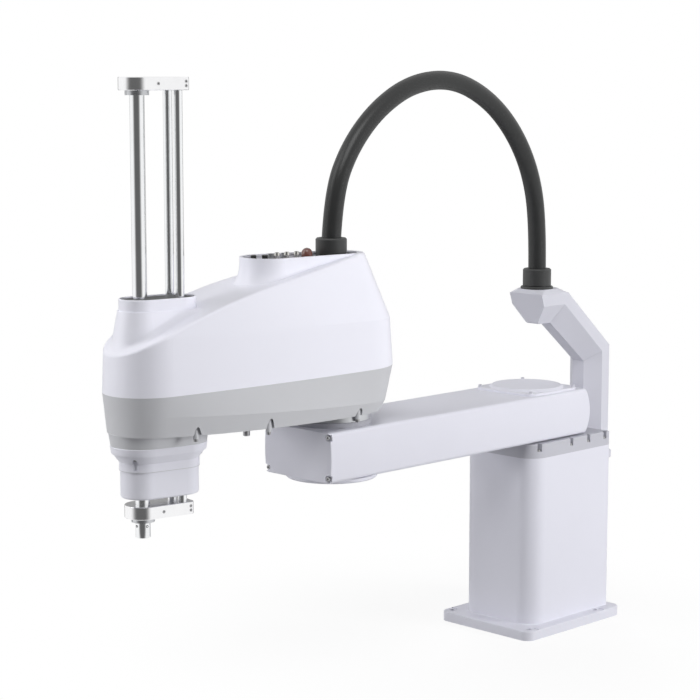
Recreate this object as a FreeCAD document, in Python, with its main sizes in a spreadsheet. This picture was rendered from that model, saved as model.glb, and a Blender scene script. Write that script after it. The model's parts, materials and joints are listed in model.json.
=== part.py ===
import FreeCAD, Part
import math
import os
import Sketcher

# Four-axis SCARA robot on a square pedestal, with 1200 mm reach and 400 mm stroke.
# Millimetres. The origin is where the first joint's axis meets the underside of the base plate.
# +X runs along the first arm, +Z up. The second arm rests turned by rest_angle toward -Y.

SIZES = (
    ("arm_1_reach", 700, "first axis to second axis"),
    ("arm_2_reach", 500, "second axis to tool shaft"),
    ("rest_angle", -10, "degrees of the second arm from the first, as photographed"),
    ("stroke", 400, "travel of the tool shaft"),
    ("running_gap", 0.3, "between faces that turn or slide past each other"),
    ("slip_fit", 0.1, "radial, shafts in their bores"),
    ("plate_front", 159.5, "first axis to front edge of base plate"),
    ("plate_back", 217.5, "first axis to back edge of base plate"),
    ("plate_side", 150, "half the base plate's width"),
    ("plate_thick", 24, ""),
    ("plate_corner", 25, ""),
    ("bolt_along", 132, "mounting holes before and behind the axis"),
    ("bolt_across", 129, "mounting holes to each side"),
    ("bolt_radius", 7, "clears an M12 bolt"),
    ("notch_wide", 6, "locating notch beside each mounting hole"),
    ("notch_long", 20, ""),
    ("notch_deep", 5, ""),
    ("column_front", 113, ""),
    ("column_back", 193.5, ""),
    ("column_side", 118.5, ""),
    ("column_corner", 50, ""),
    ("column_wall", 12, ""),
    ("column_top", 451, "seam under the crown"),
    ("crown_thick", 36, ""),
    ("pocket_wide", 12, "screw pockets of the crown"),
    ("pocket_deep", 11, ""),
    ("pocket_tall", 19, ""),
    ("window_side", 86, "half width of the opening behind the connector panel"),
    ("window_low", 58, ""),
    ("window_high", 352, ""),
    ("panel_thick", 4, ""),
    ("reducer_radius", 88, "first joint's reducer"),
    ("reducer_tall", 20, ""),
    ("motor_1_half", 60, "half the side of the first joint's motor"),
    ("motor_1_tall", 190, ""),
    ("motor_flange", 12, ""),
    ("motor_shaft", 11, "radius"),
    ("base_gap", 3, "crown to first arm"),
    ("flange_radius", 80, "output flange of the first joint"),
    ("arm_1_tall", 116, ""),
    ("arm_1_side", 106, "half width at the top and bottom edges"),
    ("arm_1_bulge", 4, "swell of the side walls"),
    ("arm_1_back", 111, "first axis to the beam's back edge"),
    ("arm_1_back_swell", 14, "bow of the closed back end"),
    ("arm_1_front", 97, "second axis to the beam's open front"),
    ("arm_1_edge", 9, "radius of the beam's long edges"),
    ("arm_1_wall", 9, ""),
    ("cap_thick", 12, "front cap of the first arm"),
    ("lid_half", 97, "half the side of the cover over the first joint"),
    ("lid_corner", 30, ""),
    ("lid_thick", 6, ""),
    ("lid_rise", 6, "round raised middle of that cover"),
    ("disc_radius", 112, "cover under the second joint"),
    ("disc_thick", 9, ""),
    ("ring_radius", 95, "bearing ring between the arms"),
    ("ring_tall", 13, ""),
    ("arm_gap", 29, "first arm to second arm"),
    ("hub_radius", 60, "second joint's hub"),
    ("nose_back", 28, "centre of the housing's nose arc behind the tool shaft"),
    ("housing_tail", 33, "centre of the tail arc behind the second axis"),
    ("split_nose", 109, "nose radius at the parting line"),
    ("split_tail", 115, "tail radius at the parting line"),
    ("split_side", 121.5, "largest half width at the parting line"),
    ("split_height", 103, "parting line above the housing's floor, on the second axis"),
    ("split_slope", 1.6, "degrees that the parting line drops toward the nose"),
    ("fold_nose", 105, "radii and half width at the fold of the lower housing"),
    ("fold_tail", 111, ""),
    ("fold_side", 136, ""),
    ("fold_height", 28, ""),
    ("fold_slope", -1.9, "degrees"),
    ("floor_nose", 100, "radii and half width at the floor edge"),
    ("floor_tail", 98, ""),
    ("floor_side", 128, ""),
    ("housing_wall", 8, ""),
    ("boss_tail", -4, "screw bosses of the housing: along the arm and to each side"),
    ("boss_tail_side", 99, ""),
    ("boss_middle", 250, ""),
    ("boss_middle_side", 121, ""),
    ("boss_nose", 76, "behind the tool shaft"),
    ("boss_nose_side", 102, ""),
    ("floor_thick", 12, ""),
    ("cover_wall", 4, ""),
    ("kink_height", 215, "bend of the cover's wall above the housing's floor"),
    ("kink_nose", 104, ""),
    ("kink_tail", 108, ""),
    ("kink_side", 113, ""),
    ("crest_height", 365, "cover's top above the housing's floor"),
    ("crest_nose", 88, ""),
    ("crest_tail", 62, ""),
    ("crest_side", 95, ""),
    ("crest_edge", 6, "radius of the cover's upper edges"),
    ("neck_blend", 16, "radius where the neck rises from the deck"),
    ("deck_lead", 300, "where the sloping deck begins to curve, behind the tool shaft"),
    ("deck_drop", 50, "deck below the cover's top there"),
    ("deck_slope", 11.9, "degrees, straight stretch of the deck"),
    ("deck_past", 102, "end of the curved stretch beyond the tool shaft"),
    ("deck_fall", 155, "drop of the curved stretch"),
    ("shelf_front", 172, "centre of the connector shelf's front arc"),
    ("shelf_nose", 64, "its radius"),
    ("shelf_tail", 52, ""),
    ("shelf_flare", 24, "how much wider the shelf's foot is"),
    ("shelf_deep", 72, "height of the shelf's flared wall"),
    ("shelf_recess", 17, "connector plate below the shelf's rim"),
    ("shelf_rim", 6, "width of the shelf's rim"),
    ("connector_plate", 3, "thickness"),
    ("shaft_radius", 16, "tool shaft"),
    ("shaft_bore", 8, "radius of the hole through the tool shaft"),
    ("rod_radius", 10, "guide rods"),
    ("rod_back", 87, "guide rods behind the tool shaft"),
    ("rod_half", 22, "guide rods to each side"),
    ("collar_radius", 26, "clamp rings on the tool shaft"),
    ("collar_tall", 10, ""),
    ("trim_radius", 46, "trim round the shaft opening"),
    ("trim_tall", 26, ""),
    ("trim_wall", 3, ""),
    ("trim_seam", 266, "foot of the trim above the housing's floor"),
    ("neck_middle", 62, "radii of the neck under the trim"),
    ("neck_foot", 75, ""),
    ("neck_middle_drop", 67, ""),
    ("neck_foot_drop", 107, ""),
    ("nose_top", 73, "radius of the housing's nose at its floor"),
    ("nose_low", 66, "radius at the nose's lower end"),
    ("nose_drop", 43, ""),
    ("nose_wall", 8, ""),
    ("nose_stretch", 85, "centre distance of the nose's two ends"),
    ("flange_low", 51, "lower radius of the white nose flange"),
    ("flange_taper", 20, ""),
    ("flange_skirt", 19, ""),
    ("boot_radius", 48, "lower nose cover"),
    ("boot_tall", 61, ""),
    ("boot_wall", 3, ""),
    ("boot_edge", 5, ""),
    ("end_plate_radius", 40, "top and bottom plates round the tool shaft"),
    ("end_plate_back", 110, "tool shaft to the plates' back edge"),
    ("end_plate_corner", 12, ""),
    ("end_plate_thick", 28, ""),
    ("top_plate_low", 1371, "height of the top plate's underside"),
    ("bottom_plate_low", 447, "height of the bottom plate's underside"),
    ("tool_low", 416, "height of the tool shaft's lower end"),
    ("pulley_radius", 50, "both pulleys on the tool shaft"),
    ("pulley_tall", 18, ""),
    ("z_pulley_radius", 25, "on the stroke motor"),
    ("r_pulley_radius", 30, "on the rotation motor"),
    ("belt_thick", 3, ""),
    ("belt_wide", 12, ""),
    ("z_motor_back", 360, "stroke motor behind the tool shaft"),
    ("r_motor_back", 230, "rotation motor behind the tool shaft"),
    ("small_motor_half", 40, "half the side of the stroke and rotation motors"),
    ("small_motor_tall", 82, ""),
    ("motor_2_half", 50, "half the side of the second joint's motor"),
    ("motor_2_tall", 190, ""),
    ("r_belt_level", 40, "above the housing's floor"),
    ("z_belt_level", 155, "above the housing's floor"),
    ("crown_screw", 3, "shank radii of the screws"),
    ("cap_screw", 2.9, ""),
    ("cover_screw", 2.4, ""),
    ("panel_screw", 2.2, ""),
    ("clamp_screw", 1.6, ""),
    ("hose_radius", 22.5, ""),
    ("hose_socket", 12, "depth of the socket that holds the hose in its gland"),
    ("gland_radius", 36, ""),
    ("gland_tall", 45, ""),
    ("gland_flange", 41.5, "radius of the gland's foot"),
    ("gland_foot", 6, ""),
    ("bracket_half", 53, "half width of the cable bracket's outer strip"),
    ("bracket_web", 18, "half width of its inner face"),
    ("bracket_far", 79.5, "its outer face behind the column"),
    ("bracket_strip", 30, "depth of the outer strip"),
    ("bracket_deep", 63, "whole depth of the bracket"),
    ("bracket_low", 384, "lower end of the bracket"),
    ("bracket_bend", 699, "height where the outer face bends"),
    ("strip_bend_drop", 14, "the strip's inner face bends this much lower"),
    ("web_bend_drop", 41, "and the web's inner face this much"),
    ("bracket_top", 851, ""),
    ("bracket_nose", 8, "front end of the bracket's head, before the first axis"),
    ("bracket_lean", 27, "how far the head's front leans back"),
    ("bracket_head", 79, "depth of the head"),
    ("bracket_shoulder", 98, "upper bend of the outer face, behind the first axis"),
    ("strip_shoulder_step", 13, "upper bends of the inner faces, before the outer face's"),
    ("web_shoulder_step", 29, ""),
    ("bracket_foot", 76, "half width of the bracket's foot"),
    ("foot_tall", 52, ""),
    ("bracket_pad", 11, "raised pad under the gland"),
    ("gland_back", 36, "gland behind the first axis"),
    ("stop_reach", 232, "stop pin from the second axis"),
    ("stop_radius", 8, ""),
    ("cap_reach", 300, "round cap under the second arm"),
    ("bushing_wall", 6, "guide rod bushings"),
    ("nut_sleeve", 24, "outer radius of both nuts on the tool shaft"),
    ("nut_bearing", 6, "wall of the bearing round each nut"),
    ("lamp_reach", 67, "signal lamp from the second axis"),
    ("lamp_radius", 12, ""),
    ("button_radius", 8, ""),
    ("button_travel", 2, ""),
)


class Size:
    """A number that remembers how it follows from the sheet."""

    def __init__(self, value, text):
        self.value = value
        self.text = text

    def __float__(self):
        return self.value

    def __neg__(self):
        return Size(-self.value, "-(%s)" % self.text)

    def __add__(self, other):
        other = sized(other)
        return Size(self.value + other.value, "(%s + %s)" % (self.text, other.text))

    def __sub__(self, other):
        other = sized(other)
        return Size(self.value - other.value, "(%s - (%s))" % (self.text, other.text))

    def __mul__(self, other):
        other = sized(other)
        return Size(self.value * other.value, "(%s * (%s))" % (self.text, other.text))

    def __truediv__(self, other):
        other = sized(other)
        return Size(self.value / other.value, "(%s / (%s))" % (self.text, other.text))

    def __radd__(self, other):
        return sized(other) + self

    def __rsub__(self, other):
        return sized(other) - self

    def __rmul__(self, other):
        return sized(other) * self


def sized(value):
    """A plain number as a Size."""
    if isinstance(value, Size):
        return value
    return Size(float(value), "(%r)" % float(value))


class Sheet:
    """The driving dimensions by name, each tied to its cell."""


def make_sheet(doc):
    """Writes the driving dimensions into a spreadsheet and returns them by name."""
    table = doc.addObject("Spreadsheet::Sheet", "Sizes")
    names = Sheet()
    for row, (alias, value, note) in enumerate(SIZES, 1):
        table.set("A%d" % row, alias)
        table.set("B%d" % row, str(value))
        table.set("C%d" % row, note)
        table.setAlias("B%d" % row, alias)
        setattr(names, alias, Size(float(value), "Sizes." + alias))
    return names


DOC = FreeCAD.newDocument("scara")
S = make_sheet(DOC)
NODES = []
CUTS = []
VEC = FreeCAD.Vector
UP = VEC(0, 0, 1)


# Heights that follow from the sheet
CROWN_TOP = S.column_top + S.crown_thick
ARM_LOW = CROWN_TOP + S.base_gap
ARM_TOP = ARM_LOW + S.arm_1_tall
FLOOR = ARM_TOP + S.arm_gap
CREST = FLOOR + S.crest_height
NOSE_X = S.arm_2_reach - S.nose_back
SEAM = FLOOR + S.trim_seam
NOSE_END = FLOOR - S.nose_drop
BOOT_TOP = NOSE_END - S.flange_taper - S.flange_skirt
BOOT_LOW = BOOT_TOP - S.boot_tall
BACK_ROD = S.arm_2_reach - S.rod_back
NOSE_BACK = S.arm_2_reach - S.nose_stretch


# Helpers
def bind(item, prop, size):
    """Ties a property to the sheet."""
    item.setExpression(prop, sized(size).text)


def recompute():
    DOC.recompute()


def node(label, item, frame=None):
    """Names a finished sub-part and puts it in its frame."""
    item.Label = label
    if frame == "arm_2":
        turn = FreeCAD.Rotation(UP, float(S.rest_angle))
        item.Placement = FreeCAD.Placement(VEC(float(S.arm_1_reach), 0, 0), turn)
        bind(item, "Placement.Base.x", S.arm_1_reach)
    NODES.append(item)
    return item


def new_body(label, frame=None):
    return node(label, DOC.addObject("PartDesign::Body", label + "_body"), frame)


def sketch(body, role="XY_Plane", lift=0):
    """A sketch on one of the body's own origin planes, lifted along its normal."""
    plane = [item for item in body.Origin.OriginFeatures if item.Role == role][0]
    item = body.newObject("Sketcher::SketchObject", "Sketch")
    item.AttachmentSupport = [(plane, "")]
    item.MapMode = "FlatFace"
    bind(item, "AttachmentOffset.Base.z", lift)
    return item


def pin(item, geometry, place, point):
    """Holds a sketch point at its distances from the origin."""
    for kind, size in (("DistanceX", point[0]), ("DistanceY", point[1])):
        number = item.addConstraint(Sketcher.Constraint(kind, -1, 1, geometry, place, float(size)))
        bind(item, "Constraints[%d]" % number, size)


def polygon(item, points):
    """A closed run of lines through the points."""
    first = item.GeometryCount
    count = len(points)
    spots = [VEC(float(x), float(y), 0) for x, y in points]
    for number in range(count):
        item.addGeometry(Part.LineSegment(spots[number], spots[(number + 1) % count]), False)
    for number in range(count):
        following = first + (number + 1) % count
        item.addConstraint(Sketcher.Constraint("Coincident", first + number, 2, following, 1))
    for number in range(count):
        pin(item, first + number, 1, points[number])


def rectangle(item, left, right, low, high):
    polygon(item, ((left, low), (right, low), (right, high), (left, high)))


def circle(item, x, y, radius):
    spot = VEC(float(x), float(y), 0)
    number = item.addGeometry(Part.Circle(spot, UP, float(radius)), False)
    pin(item, number, 3, (x, y))
    size = item.addConstraint(Sketcher.Constraint("Radius", number, float(radius)))
    bind(item, "Constraints[%d]" % size, radius)


def stadium(item, back, front, radius, across=0):
    """A slot shape with its two centres on a line along the sketch's first axis."""
    high = float(across) + float(radius)
    low = float(across) - float(radius)
    middle = float(across)
    ends = (VEC(float(back), high, 0), VEC(float(back) - float(radius), middle, 0),
            VEC(float(back), low, 0), VEC(float(front), low, 0),
            VEC(float(front) + float(radius), middle, 0), VEC(float(front), high, 0))
    left = item.addGeometry(Part.Arc(ends[0], ends[1], ends[2]), False)
    lower = item.addGeometry(Part.LineSegment(ends[2], ends[3]), False)
    right = item.addGeometry(Part.Arc(ends[3], ends[4], ends[5]), False)
    upper = item.addGeometry(Part.LineSegment(ends[5], ends[0]), False)
    for line, place, arc, end in ((lower, 1, left, 2), (lower, 2, right, 1),
                                  (upper, 1, right, 2), (upper, 2, left, 1)):
        item.addConstraint(Sketcher.Constraint("Tangent", line, place, arc, end))
    pin(item, left, 3, (back, across))
    pin(item, right, 3, (front, across))
    size = item.addConstraint(Sketcher.Constraint("Radius", left, float(radius)))
    bind(item, "Constraints[%d]" % size, radius)


def rounded_rectangle(item, left, right, low, high, radius):
    """A rectangle with four equal round corners, each arc pinned at its centre."""
    half = math.sqrt(0.5)
    size = float(radius)
    centres = ((right - radius, high - radius, 1, 1), (left + radius, high - radius, -1, 1),
               (left + radius, low + radius, -1, -1), (right - radius, low + radius, 1, -1))
    arcs = []
    ends = []
    for x, y, way_x, way_y in centres:
        centre = VEC(float(x), float(y), 0)
        flat = (centre + VEC(way_x * size, 0, 0), centre + VEC(0, way_y * size, 0))
        start, finish = flat if way_x == way_y else flat[::-1]
        middle = centre + VEC(way_x * size * half, way_y * size * half, 0)
        arcs.append(item.addGeometry(Part.Arc(start, middle, finish), False))
        ends.append((start, finish))
        pin(item, arcs[-1], 3, (x, y))
    for number in range(4):
        following = (number + 1) % 4
        line = item.addGeometry(Part.LineSegment(ends[number][1], ends[following][0]), False)
        item.addConstraint(Sketcher.Constraint("Tangent", line, 1, arcs[number], 2))
        item.addConstraint(Sketcher.Constraint("Tangent", line, 2, arcs[following], 1))
    size = item.addConstraint(Sketcher.Constraint("Radius", arcs[0], float(radius)))
    bind(item, "Constraints[%d]" % size, radius)


def pad(body, profile, length, taper=0):
    item = body.newObject("PartDesign::Pad", "Pad")
    item.Profile = profile
    bind(item, "Length", length)
    item.TaperAngle = taper
    return item


def pocket(body, profile, depth, upward=False):
    """Cuts below the sketch, or above it when upward is set."""
    before = body.Tip
    item = body.newObject("PartDesign::Pocket", "Pocket")
    item.Profile = profile
    item.Reversed = upward
    bind(item, "Length", depth)
    CUTS.append((body, before, item))
    return item


def dressed(body, kind, prop, size, keep):
    """Rounds or bevels the edges of the body's last feature that keep() picks."""
    recompute()
    base = body.Tip
    names = ["Edge%d" % number for number, edge in enumerate(base.Shape.Edges, 1) if keep(edge)]
    if not names:
        raise ValueError("no edge to round on " + body.Label)
    item = body.newObject(kind, "Dressing")
    item.Base = (base, names)
    bind(item, prop, size)
    return item


def fillet(body, radius, keep):
    return dressed(body, "PartDesign::Fillet", "Radius", radius, keep)


def chamfer(body, size, keep):
    return dressed(body, "PartDesign::Chamfer", "Size", size, keep)


def upright(edge, x=None, y=None):
    """True for a vertical line, optionally only one at a given place."""
    first = edge.Vertexes[0].Point
    last = edge.Vertexes[-1].Point
    if abs(first.x - last.x) > 0.01 or abs(first.y - last.y) > 0.01:
        return False
    if x is not None and abs(first.x - float(x)) > 0.5:
        return False
    return y is None or abs(abs(first.y) - abs(float(y))) < 0.5


def level(edge, height, tolerance=0.05):
    """True for an edge that lies flat at a height."""
    box = edge.BoundBox
    return abs(box.ZMin - float(height)) < tolerance and abs(box.ZMax - float(height)) < tolerance


def box(name, x_low, x_high, y_low, y_high, z_low, z_high):
    item = DOC.addObject("Part::Box", name)
    bind(item, "Length", sized(x_high) - x_low)
    bind(item, "Width", sized(y_high) - y_low)
    bind(item, "Height", sized(z_high) - z_low)
    bind(item, "Placement.Base.x", x_low)
    bind(item, "Placement.Base.y", y_low)
    bind(item, "Placement.Base.z", z_low)
    return item


def post(name, x, y, z_low, z_high, radius):
    """An upright cylinder."""
    item = DOC.addObject("Part::Cylinder", name)
    bind(item, "Radius", radius)
    bind(item, "Height", sized(z_high) - z_low)
    bind(item, "Placement.Base.x", x)
    bind(item, "Placement.Base.y", y)
    bind(item, "Placement.Base.z", z_low)
    return item


def cone(name, x, y, z_low, z_high, radius_low, radius_high):
    item = DOC.addObject("Part::Cone", name)
    bind(item, "Radius1", radius_low)
    bind(item, "Radius2", radius_high)
    bind(item, "Height", sized(z_high) - z_low)
    bind(item, "Placement.Base.x", x)
    bind(item, "Placement.Base.y", y)
    bind(item, "Placement.Base.z", z_low)
    return item


def stub(name, x_low, x_high, y, z, radius):
    """A cylinder along X."""
    item = DOC.addObject("Part::Cylinder", name)
    item.Placement = FreeCAD.Placement(VEC(0, 0, 0), FreeCAD.Rotation(VEC(0, 1, 0), 90))
    bind(item, "Radius", radius)
    bind(item, "Height", sized(x_high) - x_low)
    bind(item, "Placement.Base.x", x_low)
    bind(item, "Placement.Base.y", y)
    bind(item, "Placement.Base.z", z)
    return item


def fuse(name, items):
    item = DOC.addObject("Part::MultiFuse", name)
    item.Shapes = items
    return item


def cut(name, base, tool):
    item = DOC.addObject("Part::Cut", name)
    item.Base = base
    item.Tool = tool
    return item


def compound(name, items):
    item = DOC.addObject("Part::Compound", name)
    item.Links = items
    return item


def solid_feature(label, shape, frame=None):
    """A sub-part whose shape is worked out here from the sheet's values."""
    item = DOC.addObject("Part::Feature", label + "_shape")
    item.Shape = shape
    return node(label, item, frame)


def cap_screw(spot, direction, head, shank, length):
    """A socket-head screw: the spot is under its head, the direction points into the thread."""
    way = VEC(*direction)
    outer = Part.makeCylinder(head, 2 * shank, spot - way * (2 * shank), way)
    stem = Part.makeCylinder(shank, length, spot, way)
    corners = []
    across = way.cross(VEC(0.3, 0.5, 0.8)).normalize()
    top = spot - way * (2 * shank)
    for number in range(7):
        turn = FreeCAD.Rotation(way, 60 * number)
        corners.append(top + turn.multVec(across) * (0.62 * head))
    socket = Part.Face(Part.makePolygon(corners)).extrude(way * shank)
    return outer.cut(socket).fuse(stem)


def screw_group(label, places, head, shank, length, frame=None):
    """Equal screws as separate solids of one sub-part; places holds spots and directions."""
    solids = [cap_screw(spot, direction, head, shank, length) for spot, direction in places]
    return solid_feature(label, Part.makeCompound(solids), frame)


# Base: pedestal, crown, connector panel, first joint's drive and the cable bracket
def make_base_casting():
    """Base plate and hollow column, open at the top and at the back window."""
    body = new_body("base_casting")
    plate = sketch(body)
    rectangle(plate, -S.plate_back, S.plate_front, -S.plate_side, S.plate_side)
    pad(body, plate, S.plate_thick)
    fillet(body, S.plate_corner, upright)
    column = sketch(body, lift=S.plate_thick)
    rectangle(column, -S.column_back, S.column_front, -S.column_side, S.column_side)
    pad(body, column, S.column_top - S.plate_thick)
    fillet(body, S.column_corner, lambda edge: upright(edge, S.column_front, S.column_side))
    inside = sketch(body, lift=S.column_top)
    wall = S.column_wall
    rounded_rectangle(inside, wall - S.column_back, S.column_front - wall, wall - S.column_side,
                      S.column_side - wall, S.column_corner - wall)
    pocket(body, inside, S.column_top - S.plate_thick)
    window = sketch(body, "YZ_Plane", -S.column_back)
    margin = 2 * wall
    rectangle(window, margin - S.window_side, S.window_side - margin, S.window_low + margin,
              S.window_high - margin)
    pocket(body, window, wall, upward=True)
    holes = sketch(body, lift=S.plate_thick)
    for along, across in corner_places(S.bolt_along, S.bolt_across):
        circle(holes, along, across, S.bolt_radius)
    pocket(body, holes, S.plate_thick)
    notches = sketch(body, lift=S.plate_thick)
    for along, across in corner_places(S.bolt_along, S.bolt_across):
        side = 1 if float(across) > 0 else -1
        left = along - S.bolt_radius - 2 * S.notch_wide
        inner = side * (S.plate_side - S.notch_wide / 2)
        outer = side * (S.plate_side - S.notch_wide / 2 - S.notch_long)
        rectangle(notches, left, left + S.notch_wide, inner, outer)
    pocket(body, notches, S.notch_deep)
    chamfer(body, 1.5, lambda edge: level(edge, S.plate_thick) and edge.BoundBox.DiagonalLength > 100
            and abs(abs(edge.BoundBox.Center.y) - float(S.plate_side)) < 40)


def corner_places(along, across):
    """The four corners of a rectangle of places."""
    return ((along, across), (along, -across), (-along, across), (-along, -across))


def crown_side(x):
    """Half width of the crown at a place along it, less where its front corners are round."""
    past = x - float(S.column_front - S.column_corner)
    corner = float(S.column_corner)
    sag = corner - math.sqrt(corner ** 2 - past ** 2) if past > 0 else 0.0
    return float(S.column_side) - sag


def crown_screw_places():
    """Screws in the crown's pockets: their place on the outline and their way out of it."""
    sides = (82, -40, -109, -176)
    places = [(x, way * crown_side(x), way) for way in (1, -1) for x in sides]
    return places, (24, -24)


def make_base_crown():
    """Top plate of the pedestal with open screw pockets round its edge and the reducer's seat."""
    body = new_body("base_crown")
    outline = sketch(body, lift=S.column_top)
    rectangle(outline, -S.column_back, S.column_front, -S.column_side, S.column_side)
    pad(body, outline, S.crown_thick)
    fillet(body, S.column_corner, lambda edge: upright(edge, S.column_front, S.column_side))
    bore = sketch(body, lift=CROWN_TOP)
    circle(bore, 0, 0, S.motor_shaft * 2)
    pocket(body, bore, S.crown_thick)
    seat = sketch(body, lift=CROWN_TOP)
    circle(seat, 0, 0, S.reducer_radius + S.slip_fit)
    pocket(body, seat, S.reducer_tall)
    pockets = sketch(body, lift=CROWN_TOP)
    half = S.pocket_wide / 2
    sides, fronts = crown_screw_places()
    for x, y, way in sides:
        rectangle(pockets, x - half, x + half, y - way * S.pocket_deep, way * (S.column_side + 1))
    for y in fronts:
        rectangle(pockets, S.column_front - S.pocket_deep, S.column_front + 1, y - half, y + half)
    pocket(body, pockets, S.pocket_tall)
    threads = sketch(body, lift=CROWN_TOP - S.pocket_tall)
    inset = S.pocket_deep / 2
    for x, y, way in sides:
        circle(threads, x, y - way * inset, S.crown_screw + S.slip_fit)
    for y in fronts:
        circle(threads, S.column_front - inset, y, S.crown_screw + S.slip_fit)
    pocket(body, threads, S.crown_thick - S.pocket_tall)
    fillet(body, 2, lambda edge: level(edge, CROWN_TOP) and edge.BoundBox.DiagonalLength > 30
           and max(abs(edge.BoundBox.Center.x), abs(edge.BoundBox.Center.y)) > 100)


def make_crown_screws():
    sides, fronts = crown_screw_places()
    height = float(CROWN_TOP - S.pocket_tall)
    inset = float(S.pocket_deep) / 2
    places = [(VEC(x, float(y) - way * inset, height), (0, 0, -1)) for x, y, way in sides]
    places += [(VEC(float(S.column_front) - inset, y, height), (0, 0, -1)) for y in fronts]
    screw_group("crown_screws", places, float(S.pocket_wide) * 0.41, float(S.crown_screw),
                float(S.crown_thick - S.pocket_tall) - 0.5)


def make_rear_panel():
    """Sheet panel over the back window, with seats for the connectors."""
    body = new_body("rear_panel")
    sheet = sketch(body, "YZ_Plane", -S.column_back - S.panel_thick)
    rectangle(sheet, -S.window_side, S.window_side, S.window_low, S.window_high)
    pad(body, sheet, S.panel_thick)
    fillet(body, 6, lambda edge: abs(edge.BoundBox.XLength - float(S.panel_thick)) < 0.01)
    holes = sketch(body, "YZ_Plane", -S.column_back - S.panel_thick)
    circle(holes, -34, S.window_low + 222, 19)
    circle(holes, 36, S.window_low + 222, 15)
    for number in range(3):
        circle(holes, 34 * (number - 1), S.window_low + 140, 7)
    rectangle(holes, -46, -8, S.window_low + 62, S.window_low + 78)
    rectangle(holes, 10, 40, S.window_low + 62, S.window_low + 78)
    for y, z in panel_screw_spots():
        circle(holes, y, z, S.panel_screw + S.slip_fit)
    pocket(body, holes, S.panel_thick, upward=True)


def panel_screw_spots():
    """Three screws down each side of the connector panel."""
    margin = 9
    side = S.window_side - margin
    low = S.window_low + margin
    high = S.window_high - margin
    return [(y, z) for y in (-side, side) for z in (low, (low + high) / 2, high)]


def make_rear_panel_screws():
    back = -float(S.column_back + S.panel_thick)
    places = [(VEC(back, float(y), float(z)), (1, 0, 0)) for y, z in panel_screw_spots()]
    screw_group("rear_panel_screws", places, 4.2, float(S.panel_screw), float(S.panel_thick))


def round_connector(name, y, z, radius, flange):
    """A circular receptacle with a square foot, its shell pointing back."""
    face = -S.column_back - S.panel_thick
    foot = box(name + "_foot", face - 4, face, y - flange, y + flange, z - flange, z + flange)
    shell = stub(name + "_shell", face - 26, face, y, z, radius)
    plug = stub(name + "_inner", face, face + S.panel_thick + 14, y, z, radius - 1)
    mouth = stub(name + "_mouth", face - 26, face - 8, y, z, radius - 2.5)
    core = stub(name + "_core", face - 20, face - 8, y, z, radius - 6)
    body = cut(name + "_open", fuse(name + "_solid", [foot, shell, plug]), mouth)
    return fuse(name, [body, core])


def make_rear_connectors():
    node("power_connector", round_connector("power", -34, S.window_low + 222, 19, 22))
    node("signal_connector", round_connector("signal", 36, S.window_low + 222, 15, 18))
    face = -S.column_back - S.panel_thick
    ports = []
    for number in range(3):
        y = 34 * (number - 1)
        z = S.window_low + 140
        nut = stub("port_nut%d" % number, face - 7, face, y, z, 10)
        barrel = stub("port_barrel%d" % number, face - 24, face - 7, y, z, 7.5)
        tail = stub("port_tail%d" % number, face, face + 16, y, z, 6.8)
        hole = stub("port_hole%d" % number, face - 24, face + 16, y, z, 3.5)
        ports.append(cut("port%d" % number, fuse("port_solid%d" % number, [nut, barrel, tail]), hole))
    node("air_ports", compound("ports", ports))
    sockets = []
    for name, low, high in (("encoder", -46, -8), ("user", 10, 40)):
        z = S.window_low + 62
        rim = box(name + "_rim", face - 3, face, low - 7, high + 7, z - 2, z + 18)
        shell = box(name + "_shell", face - 9, face + S.panel_thick + 10, low + 0.5, high - 0.5,
                    z + 0.5, z + 15.5)
        mouth = box(name + "_mouth", face - 9, face - 3, low + 2, high - 2, z + 2, z + 14)
        sockets.append(cut(name + "_socket", fuse(name + "_solid", [rim, shell]), mouth))
    node("data_connectors", compound("sockets", sockets))


def make_first_drive():
    """Motor under the crown and the reducer seated in it."""
    low = S.column_top - S.motor_flange - S.motor_1_tall
    half = S.motor_1_half
    parts = [box("motor_1_case", -half, half, -half, half, low, S.column_top - S.motor_flange),
             box("motor_1_plate", -half - 5, half + 5, -half - 5, half + 5,
                 S.column_top - S.motor_flange, S.column_top),
             box("motor_1_cap", -half + 8, half - 8, -half + 8, half - 8, low - 40, low),
             post("motor_1_spigot", 0, 0, S.column_top, S.column_top + 8,
                  S.motor_shaft * 2 - S.slip_fit),
             post("motor_1_shaft", 0, 0, S.column_top, CROWN_TOP - 4, S.motor_shaft)]
    node("j1_motor", fuse("motor_1", parts))
    body = new_body("j1_reducer")
    disc = sketch(body, lift=CROWN_TOP - S.reducer_tall)
    circle(disc, 0, 0, S.reducer_radius)
    circle(disc, 0, 0, S.motor_shaft + S.slip_fit)
    pad(body, disc, S.reducer_tall)
    bolts = sketch(body, lift=CROWN_TOP)
    for number in range(12):
        turn = math.radians(30 * number)
        spot = S.reducer_radius - 9
        circle(bolts, spot * math.cos(turn), spot * math.sin(turn), 4)
    pocket(body, bolts, 6)


def bracket_lines():
    """Outer face, strip's inner face and web's inner face of the bracket, as x and z places."""
    low = float(S.bracket_low)
    top = float(S.bracket_top)
    nose = float(S.bracket_nose)
    lean = float(S.bracket_lean / S.bracket_head)
    lines = []
    for deep, bend, shoulder, drop in (
            (0, S.bracket_bend, S.bracket_shoulder, 0),
            (S.bracket_strip, S.bracket_bend - S.strip_bend_drop,
             S.bracket_shoulder - S.strip_shoulder_step, S.bracket_strip),
            (S.bracket_deep, S.bracket_bend - S.web_bend_drop,
             S.bracket_shoulder - S.web_shoulder_step, S.bracket_head)):
        x = float(deep) - float(S.column_back + S.bracket_far)
        z = top - float(drop)
        lines.append(((x, low), (x, float(bend)), (-float(shoulder), z),
                      (nose - lean * float(drop), z)))
    return lines


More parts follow.
